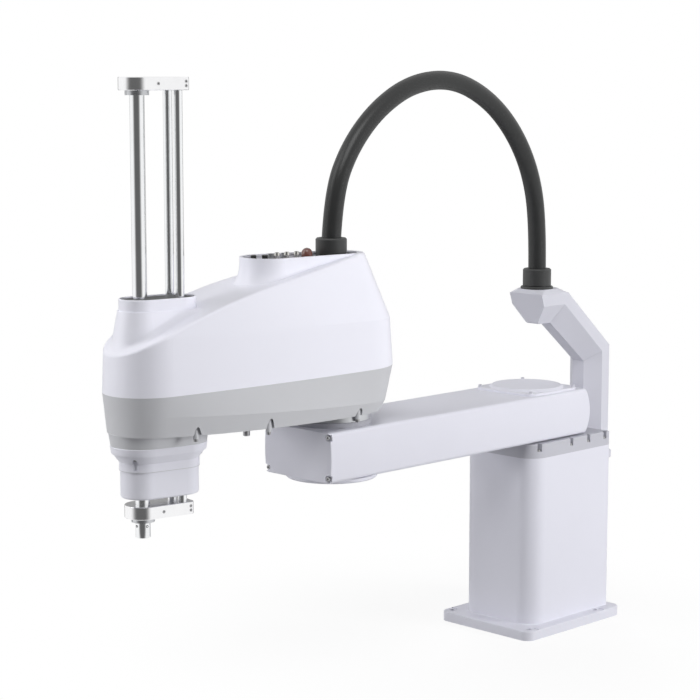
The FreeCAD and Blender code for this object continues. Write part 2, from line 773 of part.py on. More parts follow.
def web_piece(strip, web, number):
    """One stretch of the bracket's web: wide at the strip, narrow at its inner face."""
    wires = []
    for line, half in ((strip, float(S.bracket_half)), (web, float(S.bracket_web))):
        (x_1, z_1), (x_2, z_2) = line[number], line[number + 1]
        corners = [VEC(x_1, -half, z_1), VEC(x_1, half, z_1), VEC(x_2, half, z_2),
                   VEC(x_2, -half, z_2)]
        wires.append(Part.makePolygon(corners + corners[:1]))
    return Part.makeLoft(wires, True, True)


def rounded_loop(back, front, half, corner, height):
    """Wire of a rectangle with round corners, level at a height."""
    wire = Part.makePlane(front - back, 2 * half, VEC(back, -half, height))
    solid = wire.extrude(UP)
    solid = solid.makeFillet(corner, [edge for edge in solid.Edges
                                      if edge.BoundBox.ZLength > 0.5])
    low = [face for face in solid.Faces if face.BoundBox.ZMax < height + 0.5]
    return low[0].OuterWire


def bracket_foot():
    """Spread foot that screws the bracket to the column's back, its corners cut off."""
    half = float(S.bracket_foot)
    back = float(S.column_back)
    low = float(S.bracket_low)
    high = low + float(S.foot_tall)
    far = -back - float(S.bracket_far - S.bracket_strip / 2)
    inner = float(S.bracket_half)
    places = ((-inner, high), (-half, high - 14), (-half, low + 22), (-inner, low), (inner, low),
              (half, low + 22), (half, high - 14), (inner, high))
    corners = [VEC(-back, y, z) for y, z in places]
    return Part.Face(Part.makePolygon(corners + corners[:1])).extrude(VEC(far + back, 0, 0))


def bracket_screw_spots():
    """Four screws through the bracket's foot."""
    across = float(S.bracket_foot) - 12
    low = float(S.bracket_low)
    return [(y, z) for y in (-across, across) for z in (low + 20, low + float(S.foot_tall) - 18)]


def make_cable_bracket():
    """Bent bracket behind the first axis that carries the cable hose's lower end."""
    outer, strip, web = bracket_lines()
    half = float(S.bracket_half)
    ring = [VEC(x, -half, z) for x, z in outer + strip[::-1]]
    solid = Part.Face(Part.makePolygon(ring + ring[:1])).extrude(VEC(0, 2 * half, 0))
    solid = solid.fuse([web_piece(strip, web, number) for number in range(3)])
    top = float(S.bracket_top)
    nose = float(S.bracket_nose)
    back = -float(S.bracket_shoulder) + 1
    flange = float(S.gland_flange)
    pad_top = top + float(S.bracket_pad)
    raised_pad = Part.makeLoft(
        [rounded_loop(back, nose, half, 5, top),
         rounded_loop(back + 10, -float(S.gland_back) + flange + 1, flange + 1, 30, pad_top)],
        True, True)
    whole = solid.fuse([raised_pad, bracket_foot()]).removeSplitter()
    chin = [edge for edge in whole.Edges if edge.BoundBox.YLength > 20
            and edge.BoundBox.ZMax < web[3][1] + 0.1 and abs(edge.BoundBox.XMin - web[3][0]) < 0.1]
    whole = whole.makeFillet(8, chin)
    whole = whole.cut(Part.makeCylinder(float(S.hose_radius) - 2, float(S.bracket_pad) + 40,
                                        VEC(-float(S.gland_back), 0, pad_top - 50), UP))
    inner = -float(S.column_back)
    far = inner - float(S.bracket_far - S.bracket_strip / 2)
    seat = far + 12
    places = []
    for y, z in bracket_screw_spots():
        whole = whole.cut(Part.makeCylinder(4.5, inner - far + 2, VEC(far - 1, y, z), VEC(1, 0, 0)))
        whole = whole.cut(Part.makeCylinder(7.5, 13, VEC(far - 1, y, z), VEC(1, 0, 0)))
        places.append((VEC(seat, y, z), (1, 0, 0)))
    solid_feature("cable_bracket", whole)
    screw_group("bracket_screws", places, 6.5, 4.4, inner - seat)


def gland(name, x, low, frame=None):
    """Cable gland: flange, ribbed nut and the hole that the hose enters."""
    body = new_body(name, frame)
    foot = sketch(body, lift=low)
    circle(foot, x, 0, S.gland_flange)
    pad(body, foot, S.gland_foot)
    nut = sketch(body, lift=low + S.gland_foot)
    circle(nut, x, 0, S.gland_radius - 3)
    pad(body, nut, 3)
    upper = sketch(body, lift=low + S.gland_foot + 3)
    circle(upper, x, 0, S.gland_radius)
    pad(body, upper, S.gland_tall - 3)
    top = low + S.gland_foot + S.gland_tall
    chamfer(body, 3, lambda edge: level(edge, top))
    chamfer(body, 2, lambda edge: level(edge, low + S.gland_foot)
            and edge.BoundBox.XLength > 2 * float(S.gland_radius))
    hole = sketch(body, lift=top)
    circle(hole, x, 0, S.hose_radius - 4)
    pocket(body, hole, S.gland_foot + S.gland_tall)
    socket = sketch(body, lift=top)
    circle(socket, x, 0, S.hose_radius + 1)
    pocket(body, socket, S.hose_socket)



# First arm: hollow beam with its cap, covers, bearing ring and cable hose
def bowed_rectangle(item, side, low, high, swell):
    """Flat top and bottom with both side walls bowed outward by the swell."""
    tall = high - low
    radius = (tall * tall / 4 + swell * swell) / (2 * swell)
    middle = (float(low) + float(high)) / 2
    bow = float(side) + float(swell)
    corners = ((side, low), (side, high), (-side, high), (-side, low))
    spots = [VEC(float(y), float(z), 0) for y, z in corners]
    right = item.addGeometry(Part.Arc(spots[0], VEC(bow, middle, 0), spots[1]), False)
    upper = item.addGeometry(Part.LineSegment(spots[1], spots[2]), False)
    left = item.addGeometry(Part.Arc(spots[2], VEC(-bow, middle, 0), spots[3]), False)
    lower = item.addGeometry(Part.LineSegment(spots[3], spots[0]), False)
    for line, place, arc, end in ((upper, 1, right, 2), (upper, 2, left, 1),
                                  (lower, 1, left, 2), (lower, 2, right, 1)):
        item.addConstraint(Sketcher.Constraint("Coincident", line, place, arc, end))
    pin(item, upper, 1, corners[1])
    pin(item, upper, 2, corners[2])
    pin(item, lower, 1, corners[3])
    pin(item, lower, 2, corners[0])
    for arc in (right, left):
        number = item.addConstraint(Sketcher.Constraint("Radius", arc, float(radius)))
        bind(item, "Constraints[%d]" % number, radius)


def bowed_end(item, x, low, high, swell):
    """The region behind an arc that bows back from x between two heights."""
    spots = [VEC(float(x), float(low), 0), VEC(float(x), float(high), 0)]
    far = x - 2 * swell
    bow = VEC(float(x - swell), float(low + high) / 2, 0)
    arc = item.addGeometry(Part.Arc(spots[1], bow, spots[0]), False)
    outer = [VEC(float(far), float(high), 0), VEC(float(far), float(low), 0)]
    upper = item.addGeometry(Part.LineSegment(spots[1], outer[0]), False)
    item.addGeometry(Part.LineSegment(outer[0], outer[1]), False)
    lower = item.addGeometry(Part.LineSegment(outer[1], spots[0]), False)
    item.addConstraint(Sketcher.Constraint("Coincident", upper, 1, arc, 1))
    item.addConstraint(Sketcher.Constraint("Coincident", upper, 2, upper + 1, 1))
    item.addConstraint(Sketcher.Constraint("Coincident", lower, 1, upper + 1, 2))
    item.addConstraint(Sketcher.Constraint("Coincident", lower, 2, arc, 2))
    pin(item, upper, 1, (x, high))
    pin(item, upper, 2, (far, high))
    pin(item, lower, 1, (far, low))
    pin(item, lower, 2, (x, low))
    tall = high - low
    radius = (tall * tall / 4 + swell * swell) / (2 * swell)
    number = item.addConstraint(Sketcher.Constraint("Radius", arc, float(radius)))
    bind(item, "Constraints[%d]" % number, radius)


def lengthwise(edge, shortest=60):
    """True for a straight edge that runs along X."""
    box = edge.BoundBox
    return box.XLength > shortest and box.YLength < 0.01 and box.ZLength < 0.01


def make_arm_beam():
    """Cast beam, open at the front and over the first joint, its back end bowed in side view."""
    body = new_body("arm_1_beam")
    front = S.arm_1_reach + S.arm_1_front
    swell = S.arm_1_back_swell
    outer = sketch(body, "YZ_Plane", -S.arm_1_back - swell)
    bowed_rectangle(outer, S.arm_1_side, ARM_LOW, ARM_TOP, S.arm_1_bulge)
    pad(body, outer, S.arm_1_back + swell + front)
    fillet(body, S.arm_1_edge, lengthwise)
    back = sketch(body, "XZ_Plane", -S.arm_1_side - 2 * S.arm_1_bulge)
    bowed_end(back, -S.arm_1_back, ARM_LOW, ARM_TOP, swell)
    pocket(body, back, 2 * S.arm_1_side + 4 * S.arm_1_bulge, upward=True)
    fillet(body, S.arm_1_edge / 2, lambda edge: edge.BoundBox.XMax < -float(S.arm_1_back) + 2)
    inside = sketch(body, "YZ_Plane", front)
    wall = S.arm_1_wall
    bowed_rectangle(inside, S.arm_1_side - wall, ARM_LOW + wall, ARM_TOP - wall, S.arm_1_bulge)
    pocket(body, inside, S.arm_1_back + front - wall)
    openings = sketch(body, lift=ARM_TOP)
    circle(openings, 0, 0, S.lid_half - 22)
    circle(openings, S.arm_1_reach, 0, S.hub_radius - 14)
    pocket(body, openings, 2 * wall)
    bores = sketch(body, lift=ARM_LOW + wall)
    circle(bores, 0, 0, S.flange_radius - 30)
    circle(bores, S.arm_1_reach, 0, S.ring_radius - 12)
    pocket(body, bores, 2 * wall)
    threads = sketch(body, "YZ_Plane", front)
    for y, z in cap_screw_spots():
        circle(threads, y, z, S.cap_screw + S.slip_fit)
    pocket(body, threads, 10)


def make_arm_cap():
    """Front cap with four recessed corners for its screws."""
    body = new_body("arm_1_front_cap")
    front = S.arm_1_reach + S.arm_1_front
    plate = sketch(body, "YZ_Plane", front)
    bowed_rectangle(plate, S.arm_1_side, ARM_LOW, ARM_TOP, S.arm_1_bulge)
    pad(body, plate, S.cap_thick)
    fillet(body, S.arm_1_edge, lambda edge: lengthwise(edge, float(S.cap_thick) - 1))
    chamfer(body, 1.2, lambda edge: abs(edge.BoundBox.XMin - float(front + S.cap_thick)) < 0.01)
    seats = sketch(body, "YZ_Plane", front + S.cap_thick)
    for y, z in cap_screw_spots():
        circle(seats, y, z, 7.5)
    pocket(body, seats, S.cap_thick / 2)
    reliefs = sketch(body, "YZ_Plane", front + S.cap_thick)
    for y, z in cap_screw_spots():
        way = 1 if float(y) > 0 else -1
        inner, outer = (y, y + 12) if way > 0 else (y - 12, y)
        rectangle(reliefs, inner, outer, z - 7.5, z + 7.5)
    pocket(body, reliefs, S.cap_thick / 2)
    holes = sketch(body, "YZ_Plane", front + S.cap_thick)
    for y, z in cap_screw_spots():
        circle(holes, y, z, S.cap_screw + S.slip_fit)
    pocket(body, holes, S.cap_thick)


def cap_screw_spots():
    inset = 11
    side = S.arm_1_side - inset + 4
    return [(way * side, z) for way in (1, -1) for z in (ARM_LOW + inset, ARM_TOP - inset)]


def make_cap_screws():
    face = float(S.arm_1_reach + S.arm_1_front + S.cap_thick / 2)
    spots = [(VEC(face, float(y), float(z)), (-1, 0, 0)) for y, z in cap_screw_spots()]
    screw_group("arm_1_cap_screws", spots, 5, float(S.cap_screw), float(S.cap_thick) / 2 + 9)


def make_joint_lid():
    """Square cover over the first joint, with a round raised middle and screws in its corners."""
    body = new_body("j1_top_cover")
    outline = sketch(body, lift=ARM_TOP)
    half = S.lid_half
    rounded_rectangle(outline, -half, half, -half, half, S.lid_corner)
    pad(body, outline, S.lid_thick)
    middle = sketch(body, lift=ARM_TOP + S.lid_thick)
    circle(middle, 0, 0, half - 2)
    pad(body, middle, S.lid_rise, taper=-50)
    chamfer(body, 1.5, lambda edge: level(edge, ARM_TOP + S.lid_thick)
            and edge.BoundBox.DiagonalLength < 2 * float(half) - 20)
    spots = corner_places(half - 13, half - 13)
    holes = sketch(body, lift=ARM_TOP + S.lid_thick)
    for x, y in spots:
        circle(holes, x, y, S.cover_screw + S.slip_fit)
    pocket(body, holes, S.lid_thick)
    places = [(VEC(float(x), float(y), float(ARM_TOP + S.lid_thick)), (0, 0, -1)) for x, y in spots]
    screw_group("j1_cover_screws", places, 4.6, float(S.cover_screw), float(S.lid_thick))


def make_joint_rings():
    """Output flange of the first joint and the fixed bearing ring of the second."""
    body = new_body("j1_output_flange")
    disc = sketch(body, lift=CROWN_TOP + S.running_gap)
    circle(disc, 0, 0, S.flange_radius)
    circle(disc, 0, 0, S.flange_radius - 34)
    pad(body, disc, S.base_gap - S.running_gap)
    body = new_body("j2_bearing_ring")
    ring = sketch(body, lift=ARM_TOP)
    circle(ring, S.arm_1_reach, 0, S.ring_radius - 4)
    circle(ring, S.arm_1_reach, 0, S.hub_radius - 14)
    pad(body, ring, S.ring_tall)
    chamfer(body, 2, lambda edge: level(edge, ARM_TOP + S.ring_tall)
            and edge.BoundBox.XLength > 2 * float(S.hub_radius))


def make_joint_disc():
    """Round cover under the second joint and its screws."""
    body = new_body("j2_bottom_cover")
    disc = sketch(body, lift=ARM_LOW - S.disc_thick)
    circle(disc, S.arm_1_reach, 0, S.disc_radius - 5)
    pad(body, disc, S.disc_thick)
    chamfer(body, 3, lambda edge: level(edge, ARM_LOW - S.disc_thick))
    seats = sketch(body, lift=ARM_LOW - S.disc_thick)
    spread = S.disc_radius - 20
    reach = S.arm_1_reach
    spots = [(reach + spread, 0), (reach - spread, 0), (reach, spread), (reach, -spread)]
    for x, y in spots:
        circle(seats, x, y, 6)
    pocket(body, seats, 4, upward=True)
    holes = sketch(body, lift=ARM_LOW - S.disc_thick)
    for x, y in spots:
        circle(holes, x, y, S.cover_screw + S.slip_fit)
    pocket(body, holes, S.disc_thick, upward=True)
    face = float(ARM_LOW - S.disc_thick) + 4
    places = [(VEC(float(x), float(y), face), (0, 0, 1)) for x, y in spots]
    screw_group("j2_cover_screws", places, 4.6, float(S.cover_screw), float(S.disc_thick) - 4)


# The hose's line, drawn for this span between the joints and above this gland's mouth
HOSE_SPAN = 700
HOSE_FOOT = 913
HOSE_ROUTE = (
    (-36, 917), (-36, 1030), (-8, 1155), (60, 1262), (160, 1345), (290, 1394),
    (430, 1384), (550, 1325), (640, 1238), (692, 1136), (700, 1034),
)


def rounded_route(points):
    """Straight runs joined by tangent arcs; prints the smallest radius."""
    starts = [points[0]]
    edges = []
    radii = []
    for number in range(1, len(points) - 1):
        corner = points[number]
        back = points[number - 1] - corner
        ahead = points[number + 1] - corner
        turn = math.pi - back.getAngle(ahead)
        shorter = min(back.Length, ahead.Length)
        trim = 0.45 * shorter
        radii.append(trim / math.tan(turn / 2))
        first = corner + back.normalize() * trim
        last = corner + ahead.normalize() * trim
        centre_way = (back + ahead).normalize()
        reach = math.hypot(radii[-1], trim)
        middle = corner + centre_way * (reach - radii[-1])
        edges.append(Part.LineSegment(starts[-1], first).toShape())
        edges.append(Part.Arc(first, middle, last).toShape())
        starts.append(last)
    edges.append(Part.LineSegment(starts[-1], points[-1]).toShape())
    print("hose radii:", " ".join("%.0f" % radius for radius in radii))
    return Part.Wire(edges)


def make_hose():
    """Cable hose from the bracket's gland to the gland over the second joint."""
    sunk = float(S.hose_socket) - 2
    low = float(S.bracket_top + S.bracket_pad + S.gland_foot + S.gland_tall)
    stretch = float(S.arm_1_reach) / HOSE_SPAN
    points = [VEC(x * stretch, 0, low + (z - HOSE_FOOT) * stretch) for x, z in HOSE_ROUTE]
    points[0] = VEC(-float(S.gland_back), 0, low - sunk)
    points[-1] = VEC(float(S.arm_1_reach), 0, float(arm_gland_top()) - sunk)
    path = rounded_route(points)
    ring = Part.Wire(Part.makeCircle(float(S.hose_radius), points[0], points[1] - points[0]))
    tube = path.makePipeShell([ring], True, True)
    section = math.pi * float(S.hose_radius) ** 2
    print("hose length %.0f, volume ratio %.4f" % (path.Length, tube.Volume / (section * path.Length)))
    solid_feature("umbilical_hose", tube)


def arm_gland_top():
    return CREST - S.shelf_recess + S.gland_foot + S.gland_tall


# Second arm: lower housing, cover, trims and the drives inside
def plan_outline(nose_x, nose, tail_x, tail, side):
    """Closed wire of four tangent arcs: nose, tail and two long side arcs."""
    low = max(nose, tail) + side
    high = low
    reach = nose_x - tail_x

    def span(radius):
        return (math.sqrt((side - nose) * (2 * radius - side - nose))
                + math.sqrt((side - tail) * (2 * radius - side - tail)))
    while span(high) < reach:
        high *= 2
    for _ in range(60):
        radius = (low + high) / 2
        if span(radius) < reach:
            low = radius
        else:
            high = radius
    middle = nose_x - math.sqrt((side - nose) * (2 * radius - side - nose))
    centre = VEC(middle, side - radius, 0)
    touch_nose = VEC(nose_x, 0, 0) + (VEC(nose_x, 0, 0) - centre).normalize() * nose
    touch_tail = VEC(tail_x, 0, 0) + (VEC(tail_x, 0, 0) - centre).normalize() * tail
    return arc_loop(touch_nose, VEC(nose_x + nose, 0, 0), touch_tail, VEC(tail_x - tail, 0, 0),
                    VEC(middle, side, 0))


def arc_loop(touch_nose, tip, touch_tail, end, side=None):
    """Two end arcs joined by arcs through side, or by straight lines where side is None."""
    mirror = VEC(1, -1, 1)

    def flipped(spot):
        return VEC(spot.x * mirror.x, spot.y * mirror.y, spot.z)
    edges = [Part.Arc(flipped(touch_nose), tip, touch_nose).toShape()]
    if side is None:
        edges.append(Part.LineSegment(touch_nose, touch_tail).toShape())
    else:
        edges.append(Part.Arc(touch_nose, side, touch_tail).toShape())
    edges.append(Part.Arc(touch_tail, end, flipped(touch_tail)).toShape())
    if side is None:
        edges.append(Part.LineSegment(flipped(touch_tail), flipped(touch_nose)).toShape())
    else:
        edges.append(Part.Arc(flipped(touch_tail), flipped(side), flipped(touch_nose)).toShape())
    return Part.Wire(edges)


def belt_outline(front_x, front, back_x, back):
    """Closed wire round two circles on the arm's centre line."""
    lean = math.asin((back - front) / (front_x - back_x))
    way = VEC(math.sin(lean), math.cos(lean), 0)
    return arc_loop(VEC(front_x, 0, 0) + way * front, VEC(front_x + front, 0, 0),
                    VEC(back_x, 0, 0) + way * back, VEC(back_x - back, 0, 0))


def raised(wire, height, slope=0):
    """The wire tilted about Y, front end down for a positive slope, and lifted."""
    moved = wire.copy()
    moved.rotate(VEC(0, 0, 0), VEC(0, 1, 0), slope)
    moved.translate(VEC(0, 0, height))
    return moved


def split_wire(inset, lift=0.0):
    """Outline at the parting line of housing and cover."""
    wire = plan_outline(float(NOSE_X), float(S.split_nose) - inset,
                        -float(S.housing_tail), float(S.split_tail) - inset,
                        float(S.split_side) - inset)
    return raised(wire, float(FLOOR + S.split_height) + lift, float(S.split_slope))


def housing_body(inset):
    """Lower housing's outer form, or the same form shrunk by a wall."""
    nose_x = float(NOSE_X)
    tail_x = -float(S.housing_tail) / 2
    fold = plan_outline(nose_x, float(S.fold_nose) - inset, tail_x, float(S.fold_tail) - inset,
                        float(S.fold_side) - inset)
    floor = plan_outline(nose_x, float(S.floor_nose) - inset, tail_x,
                         float(S.floor_tail) - inset, float(S.floor_side) - inset)
    wires = [split_wire(inset, 0.001 * inset), raised(fold, float(FLOOR + S.fold_height),
                                                      float(S.fold_slope)),
             raised(floor, float(FLOOR))]
    return Part.makeLoft(wires, True, True)


def stadium_wire(back, front, radius, height):
    """Slot-shaped wire on the arm's centre line."""
    return raised(belt_outline(front, radius, back, radius), height)


def stadium_loft(back, front, levels):
    """Solid through slot-shaped wires, given as radius and height."""
    wires = [stadium_wire(back, front, radius, height) for radius, height in levels]
    return Part.makeLoft(wires, True, True)


def slab(low, high):
    """A block that holds everything of the arm between two heights."""
    tail = 2 * float(S.housing_tail + S.fold_tail)
    side = 2 * float(S.fold_side)
    return Part.makeBox(tail + 2 * float(S.arm_2_reach), 2 * side, high - low,
                        VEC(-tail, -side, low))


def rib_places():
    """Screw bosses along the lower housing's edge."""
    return ((float(S.boss_tail), float(S.boss_tail_side)),
            (float(S.boss_middle), float(S.boss_middle_side)),
            (float(S.arm_2_reach - S.boss_nose), float(S.boss_nose_side)))


def make_housing():
    """Lower housing of the second arm, with its nose, floor, bosses and shaft bores."""
    wall = float(S.housing_wall)
    floor = float(FLOOR)
    base = floor + float(S.floor_thick)
    nose_back = float(NOSE_BACK)
    reach = float(S.arm_2_reach)
    end = float(NOSE_END)
    solid = housing_body(0.0)
    room = housing_body(wall).common(slab(base, base + 300))
    nose = stadium_loft(nose_back, reach, ((float(S.nose_top), floor + 1),
                                           (float(S.nose_low), end)))
    solid = solid.fuse(nose).removeSplitter()
    hollow = stadium_loft(nose_back, reach, ((float(S.nose_top - S.nose_wall), base + 1),
                                             (float(S.nose_low - S.nose_wall), end + 12)))
    solid = solid.cut(room).cut(hollow)
    for x, y in rib_places():
        for way in (1, -1):
            spot = VEC(x, way * y, floor - 8)
            recess = Part.makeCone(11, 5, 44, spot + VEC(0, way * 4, 6), UP)
            solid = solid.cut(recess)
            boss = Part.makeCylinder(6.5, 50, spot, UP).cut(Part.makeCylinder(3.2, 60, spot, UP))
            solid = solid.fuse(boss)
    bores = [(reach, 0, float(S.shaft_radius) + 14 + float(S.slip_fit))]
    for way in (1, -1):
        bores.append((float(BACK_ROD), way * float(S.rod_half),
                      float(S.rod_radius) + 6 + float(S.slip_fit)))
    for x, y, radius in bores:
        solid = solid.cut(Part.makeCylinder(radius, 80, VEC(x, y, end - 1), UP))
    hub = Part.makeCylinder(float(S.hub_radius + S.slip_fit), 60, VEC(0, 0, floor - 5), UP)
    solid = solid.cut(hub)
    solid_feature("arm_2_housing", solid, "arm_2")


def make_cover_screws():
    places = [(VEC(x, way * y, float(FLOOR) - 8), (0, 0, 1)) for x, y in rib_places()
              for way in (1, -1)]
    screw_group("cover_screws", places, 5.2, 3, 40, "arm_2")


def deck_tool(inset):
    """Everything above the sloping deck between connector shelf and shaft neck."""
    start = VEC(float(S.arm_2_reach - S.deck_lead), 0, float(CREST - S.deck_drop) - inset)
    slope = math.radians(float(S.deck_slope))
    way = VEC(math.cos(slope), 0, -math.sin(slope))
    down = VEC(-math.sin(slope), 0, -math.cos(slope))
    finish = start + VEC(float(S.deck_lead + S.deck_past), 0, -float(S.deck_fall))
    chord = finish - start
    radius = chord.Length ** 2 / (2 * chord.dot(down))
    centre = start + down * radius
    half = (start + finish) * 0.5 - centre
    middle = centre + half.normalize() * radius
    leave = (finish - centre).cross(VEC(0, 1, 0)).normalize()
    if leave.x < 0:
        leave = -leave
    back = start - way * float(S.arm_2_reach)
    ahead = finish + leave * float(S.deck_past)
    top = start.z + float(S.crest_height)
    edges = [Part.LineSegment(back, start), Part.Arc(start, middle, finish),
             Part.LineSegment(finish, ahead), Part.LineSegment(ahead, VEC(ahead.x, 0, top)),
             Part.LineSegment(VEC(ahead.x, 0, top), VEC(back.x, 0, top)),
             Part.LineSegment(VEC(back.x, 0, top), back)]
    face = Part.Face(Part.Wire([edge.toShape() for edge in edges]))
    side = 2 * float(S.fold_side)
    face.translate(VEC(0, -side, 0))
    return face.extrude(VEC(0, 2 * side, 0))


def cover_parts(inset):
    """The cover's body under the deck, the connector shelf and the shaft neck, before joining."""
    kink = plan_outline(float(NOSE_X), float(S.kink_nose) - inset,
                        -float(S.housing_tail), float(S.kink_tail) - inset,
                        float(S.kink_side) - inset)
    crest = plan_outline(float(NOSE_X), float(S.crest_nose) - inset,
                         -float(S.housing_tail) / 2, float(S.crest_tail) - inset,
                         float(S.crest_side) - inset)
    top = float(CREST) - inset
    wires = [split_wire(inset, -0.001 * inset), raised(kink, float(FLOOR + S.kink_height)),
             raised(crest, top)]
    body = Part.makeLoft(wires, True, True).cut(deck_tool(inset))
    front = float(S.shelf_front)
    tail_x = -float(S.housing_tail) / 2
    flare = float(S.shelf_flare)
    levels = []
    for step in range(5):
        share = (step / 4) ** 3
        ring = belt_outline(front, float(S.shelf_nose) + flare * share - inset, tail_x,
                            float(S.shelf_tail) + flare * share / 2 - inset)
        levels.append(raised(ring, top - float(S.shelf_deep) * step / 4))
    shelf = Part.makeLoft(levels, True, False)
    seam = float(SEAM) - inset
    trim = float(S.trim_radius)
    neck = stadium_loft(float(BACK_ROD), float(S.arm_2_reach),
                        ((trim + 3 - inset, seam),
                         (float(S.neck_middle) - inset, seam - float(S.neck_middle_drop)),
                         (float(S.neck_foot) - inset, seam - float(S.neck_foot_drop))))
    return body, shelf, neck


def shared_edges(shape, first, second):
    """Edges of the joined shape that lie on the skins of both solids."""
    found = []
    for edge in shape.Edges:
        low, high = edge.ParameterRange
        spot = Part.Vertex(edge.valueAt(low + 0.37 * (high - low)))
        near = [spot.distToShape(Part.makeShell(solid.Faces))[0] for solid in (first, second)]
        if max(near) < 0.01:
            found.append(edge)
    return found


def make_cover():
    """Upper cover of the second arm, a thin shell open below, at the shelf and at the neck."""
    body, shelf, neck = cover_parts(0.0)
    kink = float(FLOOR + S.kink_height)
    rim = [edge for edge in body.Edges if edge.BoundBox.ZMin > kink - 1 and not level(edge, kink, 1)]
    body = body.makeFillet(float(S.crest_edge), rim)
    solid = body.fuse([shelf, neck]).removeSplitter()
    solid = solid.makeFillet(float(S.neck_blend), shared_edges(solid, body, neck))
    inner_body, inner_shelf, inner_neck = cover_parts(float(S.cover_wall))
    room = inner_body.fuse([inner_shelf, inner_neck])
    solid = solid.cut(room)
    mouth = stadium_loft(float(BACK_ROD), float(S.arm_2_reach),
                         ((float(S.trim_radius - S.trim_wall), float(SEAM) - 20),
                          (float(S.trim_radius - S.trim_wall), float(SEAM) + 20)))
    around = float(S.trim_radius + S.slip_fit)
    seat = stadium_loft(float(BACK_ROD), float(S.arm_2_reach),
                        ((around, float(SEAM)), (around, float(SEAM + S.trim_tall))))
    solid = solid.cut(mouth).cut(seat)
    front = float(S.shelf_front)
    tail_x = -float(S.housing_tail) / 2
    rim = float(S.shelf_rim)
    seat = belt_outline(front, float(S.shelf_nose) - rim, tail_x, float(S.shelf_tail) - rim)
    deep = float(S.shelf_recess + S.connector_plate)
    floor = float(CREST) - deep
    solid = solid.cut(Part.Face(raised(seat, floor)).extrude(VEC(0, 0, deep + 5)))
    hole = belt_outline(front, float(S.shelf_nose) - rim - 6, tail_x,
                        float(S.shelf_tail) - rim - 6)
    lip = belt_outline(front, float(S.shelf_nose) - 2, tail_x, float(S.shelf_tail) - 2)
    ledge = Part.Face(raised(lip, floor - 3)).extrude(VEC(0, 0, 3))
    solid = solid.fuse(ledge).cut(Part.Face(raised(hole, floor - 20)).extrude(VEC(0, 0, 30)))
    solid_feature("arm_2_cover", solid.removeSplitter(), "arm_2")


def make_trim():
    """Trim ring round the shaft opening and the dark seal plate just inside its top."""
    reach = S.arm_2_reach
    body = new_body("shaft_opening_trim", "arm_2")
    ring = sketch(body, lift=SEAM)
    stadium(ring, BACK_ROD, reach, S.trim_radius)
    pad(body, ring, S.trim_tall)
    fillet(body, 2, lambda edge: level(edge, SEAM + S.trim_tall))
    inside = sketch(body, lift=SEAM + S.trim_tall)
    stadium(inside, BACK_ROD, reach, S.trim_radius - S.trim_wall)
    pocket(body, inside, S.trim_tall)
    body = new_body("shaft_seal_plate", "arm_2")
    plate = sketch(body, lift=SEAM + S.trim_tall - 8)
    stadium(plate, BACK_ROD, reach, S.trim_radius - S.trim_wall)
    pad(body, plate, 5)
    shaft_holes(body, SEAM + S.trim_tall - 3, 5, S.running_gap)


def shaft_holes(body, top, depth, gap, rods=True):
    """Round openings for the tool shaft and the two guide rods."""
    holes = sketch(body, lift=top)
    circle(holes, S.arm_2_reach, 0, S.shaft_radius + gap)
    if rods:
        for side in (-1, 1):
            circle(holes, BACK_ROD, side * S.rod_half, S.rod_radius + gap)
    pocket(body, holes, depth)


def nose_screw_spots():
    """Corners of the nose flange, at 45 degrees ahead of and behind its round ends."""
    slant = (float(S.boot_radius) + 5) * math.sqrt(0.5)
    return [(x + way * slant, side * slant) for x, way in
            ((float(S.arm_2_reach), 1), (float(BACK_ROD), -1)) for side in (-1, 1)]


def make_nose_flange():
    """Tapered ring under the nose with a straight skirt and four screw seats."""
    reach = float(S.arm_2_reach)
    back = float(NOSE_BACK)
    end = float(NOSE_END)
    low = end - float(S.flange_taper)
    skirt = float(S.flange_low)
    solid = stadium_loft(back, reach, ((skirt, low), (float(S.nose_low), end)))
    bottom = float(BOOT_TOP)
    solid = solid.fuse(stadium_loft(float(BACK_ROD), reach, ((skirt - 1, bottom), (skirt - 1, low))))
    inside = float(S.boot_radius - S.boot_wall)
    solid = solid.cut(stadium_loft(float(BACK_ROD), reach, ((inside, bottom - 1), (inside, end - 8))))
    solid = solid.cut(Part.makeCylinder(float(S.shaft_radius) + 15, 60, VEC(reach, 0, bottom - 1), UP))
    for side in (-1, 1):
        spot = VEC(float(BACK_ROD), side * float(S.rod_half), bottom - 1)
        solid = solid.cut(Part.makeCylinder(float(S.rod_radius) + 7, 60, spot, UP))
    for x, y in nose_screw_spots():
        seat = Part.makeCylinder(6.5, end - 7 - low + 14, VEC(x, y, low - 14), UP)
        hole = Part.makeCylinder(2.4, 60, VEC(x, y, low - 10), UP)
        solid = solid.cut(seat).cut(hole)
    solid_feature("nose_flange", solid.removeSplitter(), "arm_2")
    places = [(VEC(x, y, end - 7), (0, 0, 1)) for x, y in nose_screw_spots()]
    screw_group("nose_screws", places, 4.2, 2.4, 7, "arm_2")


def make_nose_cover():
    """Rounded cup that closes the nose, with openings for the shaft and rods."""
    body = new_body("nose_cover", "arm_2")
    reach = S.arm_2_reach
    outer = sketch(body, lift=BOOT_LOW)
    stadium(outer, BACK_ROD, reach, S.boot_radius)
    pad(body, outer, S.boot_tall)
    fillet(body, S.boot_edge, lambda edge: level(edge, BOOT_LOW))
    inner = sketch(body, lift=BOOT_TOP)
    stadium(inner, BACK_ROD, reach, S.boot_radius - S.boot_wall)
    pocket(body, inner, S.boot_tall - S.boot_wall)
    shaft_holes(body, BOOT_LOW + S.boot_wall, S.boot_wall, S.running_gap)


